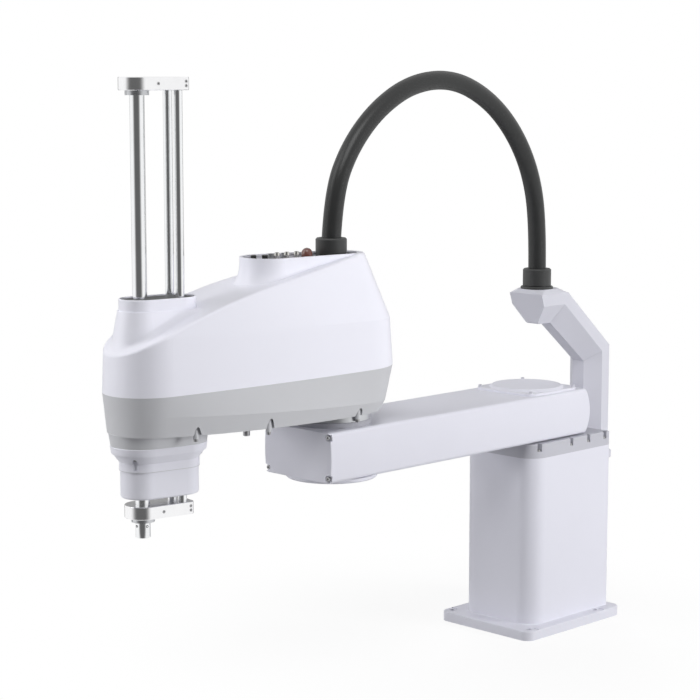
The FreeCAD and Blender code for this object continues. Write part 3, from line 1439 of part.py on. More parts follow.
def make_shelf_parts():
    """Connector plate in the shelf's recess and the fittings that stand on it."""
    top = CREST - S.shelf_recess
    tail_x = -float(S.housing_tail) / 2
    rim = float(S.shelf_rim) + float(S.slip_fit)
    front = float(S.shelf_front)
    wire = belt_outline(front, float(S.shelf_nose) - rim, tail_x, float(S.shelf_tail) - rim)
    low = float(top - S.connector_plate)
    plate = Part.Face(raised(wire, low)).extrude(VEC(0, 0, float(S.connector_plate)))
    depth = float(S.connector_plate) + 2
    bores = [(0, 0, float(S.hose_radius) - 4), (float(S.lamp_reach), 0, 7)]
    bores += [(x, y, 4.5) for x, y in fitting_spots()]
    bores += [(x, y, 9.5) for x, y in connector_spots()]
    bores.append(button_spot() + (float(S.button_radius) - 2 + float(S.running_gap),))
    for x, y, radius in bores:
        plate = plate.cut(Part.makeCylinder(radius, depth, VEC(x, y, low - 1), UP))
    solid_feature("connector_plate", plate, "arm_2")
    fittings = []
    for number, (x, y) in enumerate(fitting_spots()):
        nut = post("fitting_nut%d" % number, x, y, top, top + 9, 7)
        barrel = post("fitting_barrel%d" % number, x, y, top - 10, top + 24, 4.4)
        sleeve = cone("fitting_sleeve%d" % number, x, y, top + 20, top + 27, 6.4, 5)
        bore = post("fitting_bore%d" % number, x, y, top - 11, top + 28, 2.6)
        solid = fuse("fitting_solid%d" % number, [nut, barrel, sleeve])
        fittings.append(cut("fitting%d" % number, solid, bore))
    node("air_fittings", compound("fittings", fittings), "arm_2")
    sockets = []
    for number, (x, y) in enumerate(connector_spots()):
        foot = post("socket_foot%d" % number, x, y, top, top + 4, 12)
        shell = post("socket_shell%d" % number, x, y, top - 12, top + 20, 9)
        mouth = post("socket_mouth%d" % number, x, y, top + 6, top + 20, 7)
        sockets.append(cut("socket%d" % number, fuse("socket_solid%d" % number, [foot, shell]),
                           mouth))
    node("user_connectors", compound("arm_sockets", sockets), "arm_2")
    body = new_body("signal_lamp", "arm_2")
    base = sketch(body, lift=top)
    circle(base, S.lamp_reach, 0, S.lamp_radius + 2)
    pad(body, base, 5)
    stem = sketch(body, lift=top - 12)
    circle(stem, S.lamp_reach, 0, 6.8)
    pad(body, stem, 12)
    dome = sketch(body, lift=top + 5)
    circle(dome, S.lamp_reach, 0, S.lamp_radius)
    pad(body, dome, 19)
    fillet(body, S.lamp_radius - 2, lambda edge: level(edge, top + 24))
    gland("hose_gland_arm", 0, top, "arm_2")


def fitting_spots():
    """Air fittings in a row along the shelf's front half."""
    return [(110 + 26 * number, 22) for number in range(3)]


def connector_spots():
    return [(112, -24), (148, -24)]


def button_spot():
    return 205, 0


def make_brake_button():
    """Push button that frees the tool shaft's brake; it sinks by its travel."""
    body = new_body("brake_button", "arm_2")
    x, y = button_spot()
    top = CREST - S.shelf_recess
    stem = sketch(body, lift=top - S.connector_plate - 4)
    circle(stem, x, y, S.button_radius - 2)
    pad(body, stem, S.connector_plate + 4 + S.button_travel + S.running_gap)
    cap = sketch(body, lift=top + S.button_travel + S.running_gap)
    circle(cap, x, y, S.button_radius)
    pad(body, cap, 7)
    chamfer(body, 1, lambda edge: level(edge, top + S.button_travel + S.running_gap + 7))


def make_second_drive():
    """Reducer between the arms and the motor that stands on it."""
    low = ARM_TOP + S.ring_tall + S.running_gap
    body = new_body("j2_reducer", "arm_2")
    disc = sketch(body, lift=low)
    circle(disc, 0, 0, S.ring_radius - 3)
    circle(disc, 0, 0, S.motor_shaft + 3)
    pad(body, disc, FLOOR - low)
    hub = sketch(body, lift=FLOOR)
    circle(hub, 0, 0, S.hub_radius)
    circle(hub, 0, 0, S.motor_shaft + 3)
    pad(body, hub, S.floor_thick)
    case_low = FLOOR + S.floor_thick
    half = S.motor_2_half
    parts = [box("motor_2_plate", -half - 6, half + 6, -half - 6, half + 6, case_low, case_low + 10),
             box("motor_2_case", -half, half, -half, half, case_low + 10, case_low + S.motor_2_tall),
             box("motor_2_cap", 8 - half, half - 8, 8 - half, half - 8, case_low + S.motor_2_tall,
                 case_low + S.motor_2_tall + 30),
             post("motor_2_shaft", 0, 0, low + 4, case_low, S.motor_shaft)]
    node("j2_motor", fuse("motor_2", parts), "arm_2")


def make_small_motors():
    """Stroke motor on the floor, rotation motor on its bridge, and their pulleys."""
    base = FLOOR + S.floor_thick
    half = S.small_motor_half
    reach = S.arm_2_reach
    x = reach - S.z_motor_back
    face = FLOOR + S.z_belt_level - S.pulley_tall / 2 - 6
    parts = [box("z_motor_case", x - half, x + half, -half, half, base, face),
             post("z_motor_boss", x, 0, face, face + 3, 15),
             post("z_motor_shaft", x, 0, face, face + S.pulley_tall + 10, 7)]
    node("z_motor", fuse("z_motor_solid", parts), "arm_2")
    x = reach - S.r_motor_back
    face = FLOOR + S.r_belt_level + S.pulley_tall / 2 + 6
    wall = half + 6
    parts = [box("bridge_top", x - half - 4, x + half + 4, -wall - 6, wall + 6, face, face + 6)]
    for number, side in enumerate((-wall - 6, wall)):
        parts.append(box("bridge_wall%d" % number, x - half - 4, x + half + 4, side, side + 6, base,
                         face))
        foot = side - 8 if number == 0 else side + 6
        parts.append(box("bridge_foot%d" % number, x - half - 4, x + half + 4, foot, foot + 8, base,
                         base + 5))
    hole = post("bridge_hole", x, 0, face - 1, face + 7, 15 + S.slip_fit)
    node("r_motor_bridge", cut("bridge", fuse("bridge_solid", parts), hole), "arm_2")
    parts = [box("r_motor_case", x - half, x + half, -half, half, face + 6,
                 face + 6 + S.small_motor_tall),
             post("r_motor_boss", x, 0, face + 2, face + 6, 15),
             post("r_motor_shaft", x, 0, face - S.pulley_tall - 8, face + 6, 7)]
    node("r_motor", fuse("r_motor_solid", parts), "arm_2")
    motor_pulley("z_motor_pulley", reach - S.z_motor_back, FLOOR + S.z_belt_level,
                 S.z_pulley_radius)
    motor_pulley("r_motor_pulley", x, FLOOR + S.r_belt_level, S.r_pulley_radius)


def motor_pulley(name, x, middle, radius):
    """Toothed wheel between two flanges, bored for the motor's shaft."""
    body = new_body(name, "arm_2")
    low = middle - S.pulley_tall / 2
    rim = sketch(body, lift=low)
    circle(rim, x, 0, radius + 3)
    circle(rim, x, 0, 7 + S.running_gap)
    pad(body, rim, S.pulley_tall)
    belt_seat(body, x, middle, radius)


def belt_seat(body, x, middle, radius):
    """Turned-down band that leaves a flange above and below the belt."""
    seat = sketch(body, lift=middle - S.belt_wide / 2 - 1)
    circle(seat, x, 0, radius)
    circle(seat, x, 0, radius + 5)
    pocket(body, seat, S.belt_wide + 2, upward=True)


def make_nuts():
    """Both nuts on the tool shaft: each a pulley with its sleeve."""
    x = S.arm_2_reach
    for name, level_over, down, up in (("r_nut_pulley", S.r_belt_level, 58, 0),
                                       ("z_nut_pulley", S.z_belt_level, 44, 14)):
        middle = FLOOR + level_over
        body = new_body(name, "arm_2")
        low = middle - S.pulley_tall / 2
        rim = sketch(body, lift=low)
        circle(rim, x, 0, S.pulley_radius + 3)
        pad(body, rim, S.pulley_tall)
        belt_seat(body, x, middle, S.pulley_radius)
        sleeve = sketch(body, lift=low - down)
        circle(sleeve, x, 0, S.nut_sleeve)
        pad(body, sleeve, S.pulley_tall + down + up)
        bore = sketch(body, lift=low + S.pulley_tall + up)
        circle(bore, x, 0, S.shaft_radius + S.slip_fit)
        pocket(body, bore, S.pulley_tall + down + up)


def make_nut_bearings():
    """Bearing sleeve in the nose, the bridge under the upper pulley and the rod bushings."""
    x = S.arm_2_reach
    floor = NOSE_END + 12
    bore = S.nut_sleeve + S.running_gap
    outer = S.nut_sleeve + S.nut_bearing
    body = new_body("spline_nut_housing", "arm_2")
    tube = sketch(body, lift=NOSE_END)
    circle(tube, x, 0, outer)
    circle(tube, x, 0, bore)
    pad(body, tube, 50)
    flange = sketch(body, lift=floor)
    circle(flange, x, 0, outer + 12)
    circle(flange, x, 0, bore)
    pad(body, flange, 8)
    low = FLOOR + S.z_belt_level - S.pulley_tall / 2 - 42
    base = FLOOR + S.floor_thick
    parts = [box("bridge_2_long", x - 72, x + 32, -40, 40, low, low + 12),
             box("bridge_2_cross", x - 70, x + 10, -88, 88, low, low + 12),
             post("bearing_2", x, 0, low, low + 30, outer)]
    for number, (along, across) in enumerate(((-60, 80), (-60, -80), (0, 80), (0, -80))):
        parts.append(post("leg%d" % number, x + along, across, base, low, 7))
    hole = post("bearing_2_bore", x, 0, low - 1, low + 31, bore)
    node("z_nut_carrier", cut("carrier", fuse("carrier_solid", parts), hole), "arm_2")
    bushings = []
    for number, side in enumerate((-1, 1)):
        across = side * S.rod_half
        tube = post("bushing%d" % number, BACK_ROD, across, NOSE_END, floor + 50,
                    S.rod_radius + S.bushing_wall)
        hole = post("bushing_bore%d" % number, BACK_ROD, across, NOSE_END - 1, floor + 51,
                    S.rod_radius + S.slip_fit)
        bushings.append(cut("bushing_cut%d" % number, tube, hole))
    node("rod_bushings", compound("bushings", bushings), "arm_2")


def make_belt(name, back, radius, middle):
    """Flat loop round a motor pulley and the pulley on the tool shaft."""
    x = float(S.arm_2_reach)
    low = float(middle - S.belt_wide / 2)
    gap = float(S.running_gap)
    faces = [Part.Face(raised(belt_outline(x, float(S.pulley_radius) + extra, x - float(back),
                                           float(radius) + extra), low))
             for extra in (gap, gap + float(S.belt_thick))]
    band = faces[1].cut(faces[0]).extrude(VEC(0, 0, float(S.belt_wide)))
    solid_feature(name, band, "arm_2")


def make_underside_parts():
    """Stop pin and round cap under the second arm."""
    body = new_body("stop_pin", "arm_2")
    low = ARM_TOP - 8
    shape = sketch(body, lift=low)
    circle(shape, S.stop_reach, 0, S.stop_radius)
    pad(body, shape, FLOOR - low)
    collar = sketch(body, lift=FLOOR - 10)
    circle(collar, S.stop_reach, 0, S.stop_radius + 4)
    pad(body, collar, 10)
    chamfer(body, 1.5, lambda edge: level(edge, low))
    body = new_body("under_cap", "arm_2")
    disc = sketch(body, lift=FLOOR - 5)
    circle(disc, S.cap_reach, 0, 19)
    pad(body, disc, 5)
    chamfer(body, 2, lambda edge: level(edge, FLOOR - 5))


# Tool shaft, guide rods and the two plates that tie them together
def end_plate(name, low):
    """Plate with a round front about the tool shaft and a square back."""
    body = new_body(name, "arm_2")
    reach = S.arm_2_reach
    radius = S.end_plate_radius
    outline = sketch(body, lift=low)
    rectangle(outline, reach - S.end_plate_back, reach, -radius, radius)
    pad(body, outline, S.end_plate_thick)
    fillet(body, S.end_plate_corner, lambda edge: upright(edge, reach - S.end_plate_back, radius))
    front = sketch(body, lift=low)
    circle(front, reach, 0, radius)
    pad(body, front, S.end_plate_thick)
    chamfer(body, 1, lambda edge: (level(edge, low) or level(edge, low + S.end_plate_thick))
            and edge.Length > 15)
    shaft = sketch(body, lift=low + S.end_plate_thick)
    circle(shaft, reach, 0, S.shaft_radius + S.running_gap)
    for side in (-1, 1):
        circle(shaft, BACK_ROD, side * S.rod_half, S.rod_radius)
    pocket(body, shaft, S.end_plate_thick)
    slits = sketch(body, lift=low + S.end_plate_thick)
    back = reach - S.end_plate_back
    for side in (-1, 1):
        rectangle(slits, back - 1, BACK_ROD - S.rod_radius + 1, side * S.rod_half - 1,
                  side * S.rod_half + 1)
    pocket(body, slits, S.end_plate_thick)
    for side in (-1, 1):
        seats = sketch(body, "XZ_Plane", side * S.end_plate_radius)
        threads = sketch(body, "XZ_Plane", side * S.end_plate_radius)
        for x, z in clamp_screw_spots(low):
            circle(seats, x, z, 2 * S.clamp_screw + 0.4)
            circle(threads, x, z, S.clamp_screw + S.slip_fit)
        pocket(body, seats, CLAMP_SEAT, upward=side < 0)
        pocket(body, threads, 16, upward=side < 0)


CLAMP_SEAT = 4


def clamp_screw_spots(low):
    """Two screws behind the rods and one beside the tool shaft, on each side of a plate."""
    back = S.arm_2_reach - S.end_plate_back + S.end_plate_corner
    third = S.end_plate_thick / 3
    return ((back, low + third), (back, low + 2 * third),
            (S.arm_2_reach - 30, low + S.end_plate_thick / 2))


def make_end_plates():
    end_plate("top_plate", S.top_plate_low)
    end_plate("bottom_plate", S.bottom_plate_low)
    face = float(S.end_plate_radius) - CLAMP_SEAT
    places = []
    for low in (S.top_plate_low, S.bottom_plate_low):
        for x, z in clamp_screw_spots(low):
            for way in (-1, 1):
                places.append((VEC(float(x), way * face, float(z)), (0, -way, 0)))
    shank = float(S.clamp_screw)
    screw_group("plate_screws", places, 2 * shank, shank, 6, "arm_2")


def make_guide_rods():
    """Two rods beside each other behind the tool shaft, clamped in both plates."""
    rods = []
    for number, side in enumerate((-1, 1)):
        across = side * S.rod_half
        low = S.bottom_plate_low
        high = S.top_plate_low + S.end_plate_thick
        middle = post("rod%d" % number, BACK_ROD, across, low + 1, high - 4, S.rod_radius)
        upper = cone("rod_top%d" % number, BACK_ROD, across, high - 4, high - 3, S.rod_radius,
                     S.rod_radius - 1)
        lower = cone("rod_end%d" % number, BACK_ROD, across, low, low + 1, S.rod_radius - 1,
                     S.rod_radius)
        rods.append(fuse("rod_solid%d" % number, [lower, middle, upper]))
    node("guide_rods", compound("rods", rods), "arm_2")


def make_tool_shaft():
    """Hollow tool shaft with a flat and a cross hole near its lower end."""
    body = new_body("tool_shaft", "arm_2")
    reach = S.arm_2_reach
    high = S.top_plate_low + S.end_plate_thick - 7
    ring = sketch(body, lift=S.tool_low)
    circle(ring, reach, 0, S.shaft_radius)
    circle(ring, reach, 0, S.shaft_bore)
    pad(body, ring, high - S.tool_low)
    chamfer(body, 1, lambda edge: level(edge, S.tool_low) or level(edge, high))
    groove = sketch(body, lift=S.bottom_plate_low - S.running_gap - S.collar_tall)
    circle(groove, reach, 0, S.shaft_radius - 0.5)
    circle(groove, reach, 0, S.shaft_radius + 1)
    pocket(body, groove, 1)
    flat = sketch(body, lift=S.tool_low)
    rectangle(flat, reach + S.shaft_radius - 1.5, reach + S.shaft_radius + 1, -S.shaft_radius,
              S.shaft_radius)
    pocket(body, flat, 16, upward=True)
    cross = sketch(body, "YZ_Plane", reach + S.shaft_radius + 1)
    circle(cross, 0, S.tool_low + 8, 3)
    pocket(body, cross, S.shaft_radius + 1)


def make_collars():
    """Clamp rings that hold the tool shaft in both plates."""
    rings = []
    for number, top in enumerate((S.top_plate_low, S.bottom_plate_low)):
        high = top - S.running_gap
        outer = post("collar%d" % number, S.arm_2_reach, 0, high - S.collar_tall, high,
                     S.collar_radius)
        bore = post("collar_bore%d" % number, S.arm_2_reach, 0, high - S.collar_tall - 1, high + 1,
                    S.shaft_radius)
        slit = box("collar_slit%d" % number, S.arm_2_reach, S.arm_2_reach + S.collar_radius + 1, -1,
                   1, high - S.collar_tall - 1, high + 1)
        rings.append(cut("collar_cut%d" % number, outer, fuse("collar_tool%d" % number,
                                                              [bore, slit])))
    node("shaft_collars", compound("collars", rings), "arm_2")


def make_base():
    make_base_casting()
    make_base_crown()
    make_crown_screws()
    make_rear_panel()
    make_rear_panel_screws()
    make_rear_connectors()
    make_first_drive()
    make_cable_bracket()
    gland("hose_gland_base", -S.gland_back, S.bracket_top + S.bracket_pad)


def make_first_arm():
    make_arm_beam()
    make_arm_cap()
    make_cap_screws()
    make_joint_lid()
    make_joint_rings()
    make_joint_disc()
    make_hose()


def make_second_arm():
    make_housing()
    make_cover_screws()
    make_cover()
    make_trim()
    make_nose_flange()
    make_nose_cover()
    make_shelf_parts()
    make_brake_button()
    make_second_drive()
    make_small_motors()
    make_nuts()
    make_nut_bearings()
    make_belt("z_belt", S.z_motor_back, S.z_pulley_radius, FLOOR + S.z_belt_level)
    make_belt("r_belt", S.r_motor_back, S.r_pulley_radius, FLOOR + S.r_belt_level)
    make_underside_parts()


def make_carriage():
    make_end_plates()
    make_guide_rods()
    make_tool_shaft()
    make_collars()


def check_and_write():
    """Stops on a faulty sub-part, then writes one file for each."""
    recompute()
    for item in DOC.Objects:
        if "Invalid" in item.State or "Error" in item.State:
            raise ValueError("%s is %s" % (item.Label, item.State))
    for body, before, item in CUTS:
        if item.Shape.Volume > before.Shape.Volume - 1:
            raise ValueError("a pocket of %s removes nothing" % body.Label)
    os.makedirs("parts", exist_ok=True)
    for item in NODES:
        shape = item.Shape
        if shape.isNull() or not shape.isValid() or not shape.Solids:
            raise ValueError("faulty shape: " + item.Label)
        shape.exportStep("parts/%s.step" % item.Label)
        print("%-20s %2d solids %9.0f mm3" % (item.Label, len(shape.Solids), shape.Volume))


make_base()
make_first_arm()
make_second_arm()
make_carriage()
check_and_write()
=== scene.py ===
import json
import math

import bpy
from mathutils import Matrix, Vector


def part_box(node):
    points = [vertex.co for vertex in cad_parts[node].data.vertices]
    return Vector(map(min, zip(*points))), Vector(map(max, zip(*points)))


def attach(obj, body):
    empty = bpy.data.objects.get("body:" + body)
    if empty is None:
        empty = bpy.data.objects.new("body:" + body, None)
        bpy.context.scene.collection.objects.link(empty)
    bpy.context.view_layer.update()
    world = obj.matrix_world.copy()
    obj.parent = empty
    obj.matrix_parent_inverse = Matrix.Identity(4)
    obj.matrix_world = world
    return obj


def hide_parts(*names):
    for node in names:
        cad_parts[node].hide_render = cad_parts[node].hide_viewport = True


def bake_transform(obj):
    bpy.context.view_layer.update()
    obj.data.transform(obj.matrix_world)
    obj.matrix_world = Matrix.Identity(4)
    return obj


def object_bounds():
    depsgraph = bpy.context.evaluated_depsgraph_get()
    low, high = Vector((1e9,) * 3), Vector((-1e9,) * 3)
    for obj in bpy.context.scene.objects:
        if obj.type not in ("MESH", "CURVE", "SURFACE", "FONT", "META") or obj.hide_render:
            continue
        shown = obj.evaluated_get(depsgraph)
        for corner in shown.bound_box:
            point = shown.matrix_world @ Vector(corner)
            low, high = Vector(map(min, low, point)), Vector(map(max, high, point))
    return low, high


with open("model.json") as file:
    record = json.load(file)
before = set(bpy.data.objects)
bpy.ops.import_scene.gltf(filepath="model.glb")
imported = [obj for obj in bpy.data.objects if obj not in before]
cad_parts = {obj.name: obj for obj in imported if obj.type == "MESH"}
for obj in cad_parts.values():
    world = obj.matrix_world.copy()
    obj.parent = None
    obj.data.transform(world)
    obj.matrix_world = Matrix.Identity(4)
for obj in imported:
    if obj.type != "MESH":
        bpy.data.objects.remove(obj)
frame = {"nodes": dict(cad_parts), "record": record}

bl_info = {
    "name": "SCARA Robot Dresser",
    "version": (1, 0, 0),
    "blender": (4, 5, 0),
    "location": "View3D > Sidebar > Robot",
    "description": "Finishes, hose, seams and studio for the packed four-axis arm",
    "category": "Object",
}

# All lengths are in metres, angles in radians unless a name says degrees.
CAD_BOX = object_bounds()
NODES = frame["nodes"]
WHITE = (1.0, 1.0, 1.0, 1.0)

SMOOTH_ANGLE = math.radians(35)
BEVEL_ANGLE = math.radians(30)
MERGE_GAP = 0.00001
FACE_GAP = 0.0001
TURNED_SIDES = 48
TURNED_EDGE = 0.0004


# Places on the frame
def middle(node):
    """Centre of a node's box."""
    low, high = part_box(node)
    return (low + high) / 2


ELBOW = middle("j2_bottom_cover")
TOOL = middle("tool_shaft")
ARM_WAY = Vector((TOOL.x - ELBOW.x, TOOL.y - ELBOW.y, 0)).normalized()
ARM_TURN = math.atan2(ARM_WAY.y, ARM_WAY.x)

# Line of the hose's centre from the bracket's gland to the second arm's gland, as x and z.
HOSE_ROUTE = ((-0.036, 0.903), (-0.036, 1.030), (-0.008, 1.155), (0.060, 1.262),
              (0.160, 1.345), (0.290, 1.394), (0.430, 1.384), (0.550, 1.325),
              (0.640, 1.238), (0.692, 1.136), (0.700, 1.024))

# Lamps: name, setting that holds the power, place, side of the square.
LAMPS = (
    ("Right Lamp", "right", (-1.38, 4.04, 1.33), 1.6),
    ("Left Lamp", "left", (3.91, -2.87, 1.33), 1.6),
    ("High Lamp", "high", (3.62, -1.46, 3.59), 2.4),
    ("Front Lamp", "front", (2.33, 1.83, 4.39), 2.4),
    ("Back Lamp", "back", (-2.38, -2.88, 2.60), 2.4),
)
LAMP_AIM = Vector((0.5, 0.0, 0.7))
# Only lamps above this height show in reflections.
REFLECTED_LAMP_HEIGHT = 3.0

# Patches of the studio that metal reflects darker than white: way from the part,
# cosine where the patch starts, cosine where it is darkest, tone there.
MIRROR_PATCHES = (
    ((0.77, 0.64, 0.0), 0.40, 0.90, 0.13),
    ((-0.707, -0.707, 0.0), 0.72, 0.95, 0.35),
)
MIRROR_HEIGHT = 0.3

FLOOR_RADIUS = 9.0
FLOOR_CENTRE = (0.4, 0.0)
FLOOR_TONE = (0.45, 0.45, 0.46, 1.0)
# The floor turns from lit paper to plain white between these distances from the pedestal.
FADE_CENTRE = (0.2, 0.0)
FADE_NEAR, FADE_FAR = 0.3, 1.0
FADE_SHARE = 0.88


# Settings that a user would change
class FinishSettings(bpy.types.PropertyGroup):
    """Colours of the paints and plastics."""

    enamel: bpy.props.FloatVectorProperty(
        name="Enamel", description="Paint of the pedestal and the first arm", subtype="COLOR",
        size=3, min=0, max=1, default=(0.765, 0.765, 0.840))
    cover: bpy.props.FloatVectorProperty(
        name="Cover", description="Moulded covers of the second arm", subtype="COLOR",
        size=3, min=0, max=1, default=(0.895, 0.895, 0.975))
    grey: bpy.props.FloatVectorProperty(
        name="Grey", description="Paint of the second arm's housing", subtype="COLOR",
        size=3, min=0, max=1, default=(0.605, 0.610, 0.635))
    hose: bpy.props.FloatVectorProperty(
        name="Hose", description="Cable hose and its glands", subtype="COLOR",
        size=3, min=0, max=1, default=(0.038, 0.039, 0.039))
    lamp: bpy.props.FloatVectorProperty(
        name="Lamp", description="Lens of the signal lamp", subtype="COLOR",
        size=3, min=0, max=1, default=(0.15, 0.045, 0.034))


class HoseSettings(bpy.types.PropertyGroup):
    """Size of the cable hose."""

    diameter: bpy.props.FloatProperty(
        name="Diameter", description="Outer diameter of the cable hose", unit="LENGTH",
        default=0.045, min=0.01, max=0.1)
    length: bpy.props.FloatProperty(
        name="Length", description="Hose length between its two glands", unit="LENGTH",
        default=1.267, min=0.2, max=3)


class StudioSettings(bpy.types.PropertyGroup):
    """Camera and lights."""

    camera_place: bpy.props.FloatVectorProperty(
        name="Camera", description="Where the camera stands", subtype="TRANSLATION", size=3,
        default=(3.9067, 3.2675, 1.4098))
    camera_pitch: bpy.props.FloatProperty(
        name="Pitch", description="How far the camera looks down", subtype="ANGLE",
        default=math.radians(7.9))
    camera_heading: bpy.props.FloatProperty(
        name="Heading", description="Camera's turn about the vertical", subtype="ANGLE",
        default=math.radians(135))
    camera_lens: bpy.props.FloatProperty(
        name="Lens", description="Focal length on a 36 mm sensor", unit="CAMERA",
        default=103.13)
    right: bpy.props.FloatProperty(
        name="Right lamp", description="Soft lamp low at the camera's right", unit="POWER",
        default=138, min=0)
    left: bpy.props.FloatProperty(
        name="Left lamp", description="Soft lamp low at the camera's left", unit="POWER",
        default=70, min=0)
    high: bpy.props.FloatProperty(
        name="High lamp", description="Soft lamp high at the camera's left", unit="POWER",
        default=38, min=0)
    front: bpy.props.FloatProperty(
        name="Front lamp", description="Soft lamp high above the camera", unit="POWER",
        default=76, min=0)
    back: bpy.props.FloatProperty(
        name="Back lamp", description="Soft lamp behind the robot", unit="POWER",
        default=75, min=0)
    room: bpy.props.FloatProperty(
        name="Room light", description="Even light from all round", default=0.08, min=0, max=2)


# Node building
def new_group(name, inputs, outputs):
    """An empty node group with named sockets, and its input and output nodes."""
    tree = bpy.data.node_groups.new(name, "ShaderNodeTree")
    for label, kind, value in inputs:
        socket = tree.interface.new_socket(name=label, in_out="INPUT", socket_type=kind)
        if value is not None:
            socket.default_value = value
    for label, kind in outputs:
        tree.interface.new_socket(name=label, in_out="OUTPUT", socket_type=kind)
    return tree, tree.nodes.new("NodeGroupInput"), tree.nodes.new("NodeGroupOutput")


def grain_group():
    """Fine orange-peel of a coat: bump height and a slow roughness drift."""
    known = bpy.data.node_groups.get("Coat Grain")
    if known:
        return known
    tree, source, sink = new_group(
        "Coat Grain",
        (("Grain Scale", "NodeSocketFloat", 900.0), ("Grain Depth", "NodeSocketFloat", 0.00003),
         ("Roughness", "NodeSocketFloat", 0.45), ("Drift", "NodeSocketFloat", 0.06)),
        (("Roughness", "NodeSocketFloat"), ("Normal", "NodeSocketVector")))
    nodes, links = tree.nodes, tree.links
    place = nodes.new("ShaderNodeTexCoord")
    fine = nodes.new("ShaderNodeTexNoise")
    fine.inputs["Detail"].default_value = 2.0
    slow = nodes.new("ShaderNodeTexNoise")
    slow.inputs["Scale"].default_value = 7.0
    slow.inputs["Detail"].default_value = 4.0
    bump = nodes.new("ShaderNodeBump")
    bump.inputs["Strength"].default_value = 0.35
    spread = nodes.new("ShaderNodeMath")
    spread.operation = "MULTIPLY_ADD"
    centred = nodes.new("ShaderNodeMath")
    centred.operation = "SUBTRACT"
    centred.inputs[1].default_value = 0.5
    links.new(place.outputs["Object"], fine.inputs["Vector"])
    links.new(place.outputs["Object"], slow.inputs["Vector"])
    links.new(source.outputs["Grain Scale"], fine.inputs["Scale"])
    links.new(source.outputs["Grain Depth"], bump.inputs["Distance"])
    links.new(fine.outputs["Fac"], bump.inputs["Height"])
    links.new(slow.outputs["Fac"], centred.inputs[0])
    links.new(centred.outputs[0], spread.inputs[0])
    links.new(source.outputs["Drift"], spread.inputs[1])
    links.new(source.outputs["Roughness"], spread.inputs[2])
    links.new(spread.outputs[0], sink.inputs["Roughness"])
    links.new(bump.outputs["Normal"], sink.inputs["Normal"])
    return tree


def tone_group():
    """Slight change of a colour over a surface, with handling marks in patches."""
    known = bpy.data.node_groups.get("Tone Drift")
    if known:
        return known
    tree, source, sink = new_group(
        "Tone Drift",
        (("Colour", "NodeSocketColor", (0.8, 0.8, 0.8, 1.0)),
         ("Soil", "NodeSocketColor", (0.5, 0.5, 0.5, 1.0)),
         ("Amount", "NodeSocketFloat", 0.06), ("Patch Scale", "NodeSocketFloat", 5.0)),
        (("Colour", "NodeSocketColor"),))
    nodes, links = tree.nodes, tree.links
    place = nodes.new("ShaderNodeTexCoord")
    patch = nodes.new("ShaderNodeTexNoise")
    patch.inputs["Detail"].default_value = 5.0
    patch.inputs["Roughness"].default_value = 0.6
    limits = nodes.new("ShaderNodeMapRange")
    limits.inputs["From Min"].default_value = 0.4
    limits.inputs["From Max"].default_value = 0.75
    blend = nodes.new("ShaderNodeMix")
    blend.data_type = "RGBA"
    # A Mix node has one set of sockets for each kind of data: 6 and 7 are its colours,
    # and output 2 is the mixed colour.
    links.new(place.outputs["Object"], patch.inputs["Vector"])
    links.new(source.outputs["Patch Scale"], patch.inputs["Scale"])
    links.new(patch.outputs["Fac"], limits.inputs["Value"])
    links.new(source.outputs["Amount"], limits.inputs["To Max"])
    links.new(limits.outputs["Result"], blend.inputs["Factor"])
    links.new(source.outputs["Colour"], blend.inputs[6])
    links.new(source.outputs["Soil"], blend.inputs[7])
    links.new(blend.outputs[2], sink.inputs["Colour"])
    return tree


def turned_group():
    """Fine rings or lines left by grinding and turning, drawn along a chosen axis."""
    known = bpy.data.node_groups.get("Machining Marks")
    if known:
        return known
    tree, source, sink = new_group(
        "Machining Marks",
        (("Stretch", "NodeSocketVector", (1.0, 1.0, 60.0)), ("Scale", "NodeSocketFloat", 40.0),
         ("Roughness", "NodeSocketFloat", 0.2), ("Spread", "NodeSocketFloat", 0.1),
         ("Depth", "NodeSocketFloat", 0.00001)),
        (("Roughness", "NodeSocketFloat"), ("Normal", "NodeSocketVector")))
    nodes, links = tree.nodes, tree.links
    place = nodes.new("ShaderNodeTexCoord")
    squeeze = nodes.new("ShaderNodeVectorMath")
    squeeze.operation = "MULTIPLY"
    lines = nodes.new("ShaderNodeTexNoise")
    lines.inputs["Detail"].default_value = 6.0
    spread = nodes.new("ShaderNodeMath")
    spread.operation = "MULTIPLY_ADD"
    bump = nodes.new("ShaderNodeBump")
    bump.inputs["Strength"].default_value = 0.25
    links.new(place.outputs["Object"], squeeze.inputs[0])
    links.new(source.outputs["Stretch"], squeeze.inputs[1])
    links.new(squeeze.outputs[0], lines.inputs["Vector"])
    links.new(source.outputs["Scale"], lines.inputs["Scale"])
    links.new(lines.outputs["Fac"], spread.inputs[0])
    links.new(source.outputs["Spread"], spread.inputs[1])
    links.new(source.outputs["Roughness"], spread.inputs[2])
    links.new(lines.outputs["Fac"], bump.inputs["Height"])
    links.new(source.outputs["Depth"], bump.inputs["Distance"])
    links.new(spread.outputs[0], sink.inputs["Roughness"])
    links.new(bump.outputs["Normal"], sink.inputs["Normal"])
    return tree


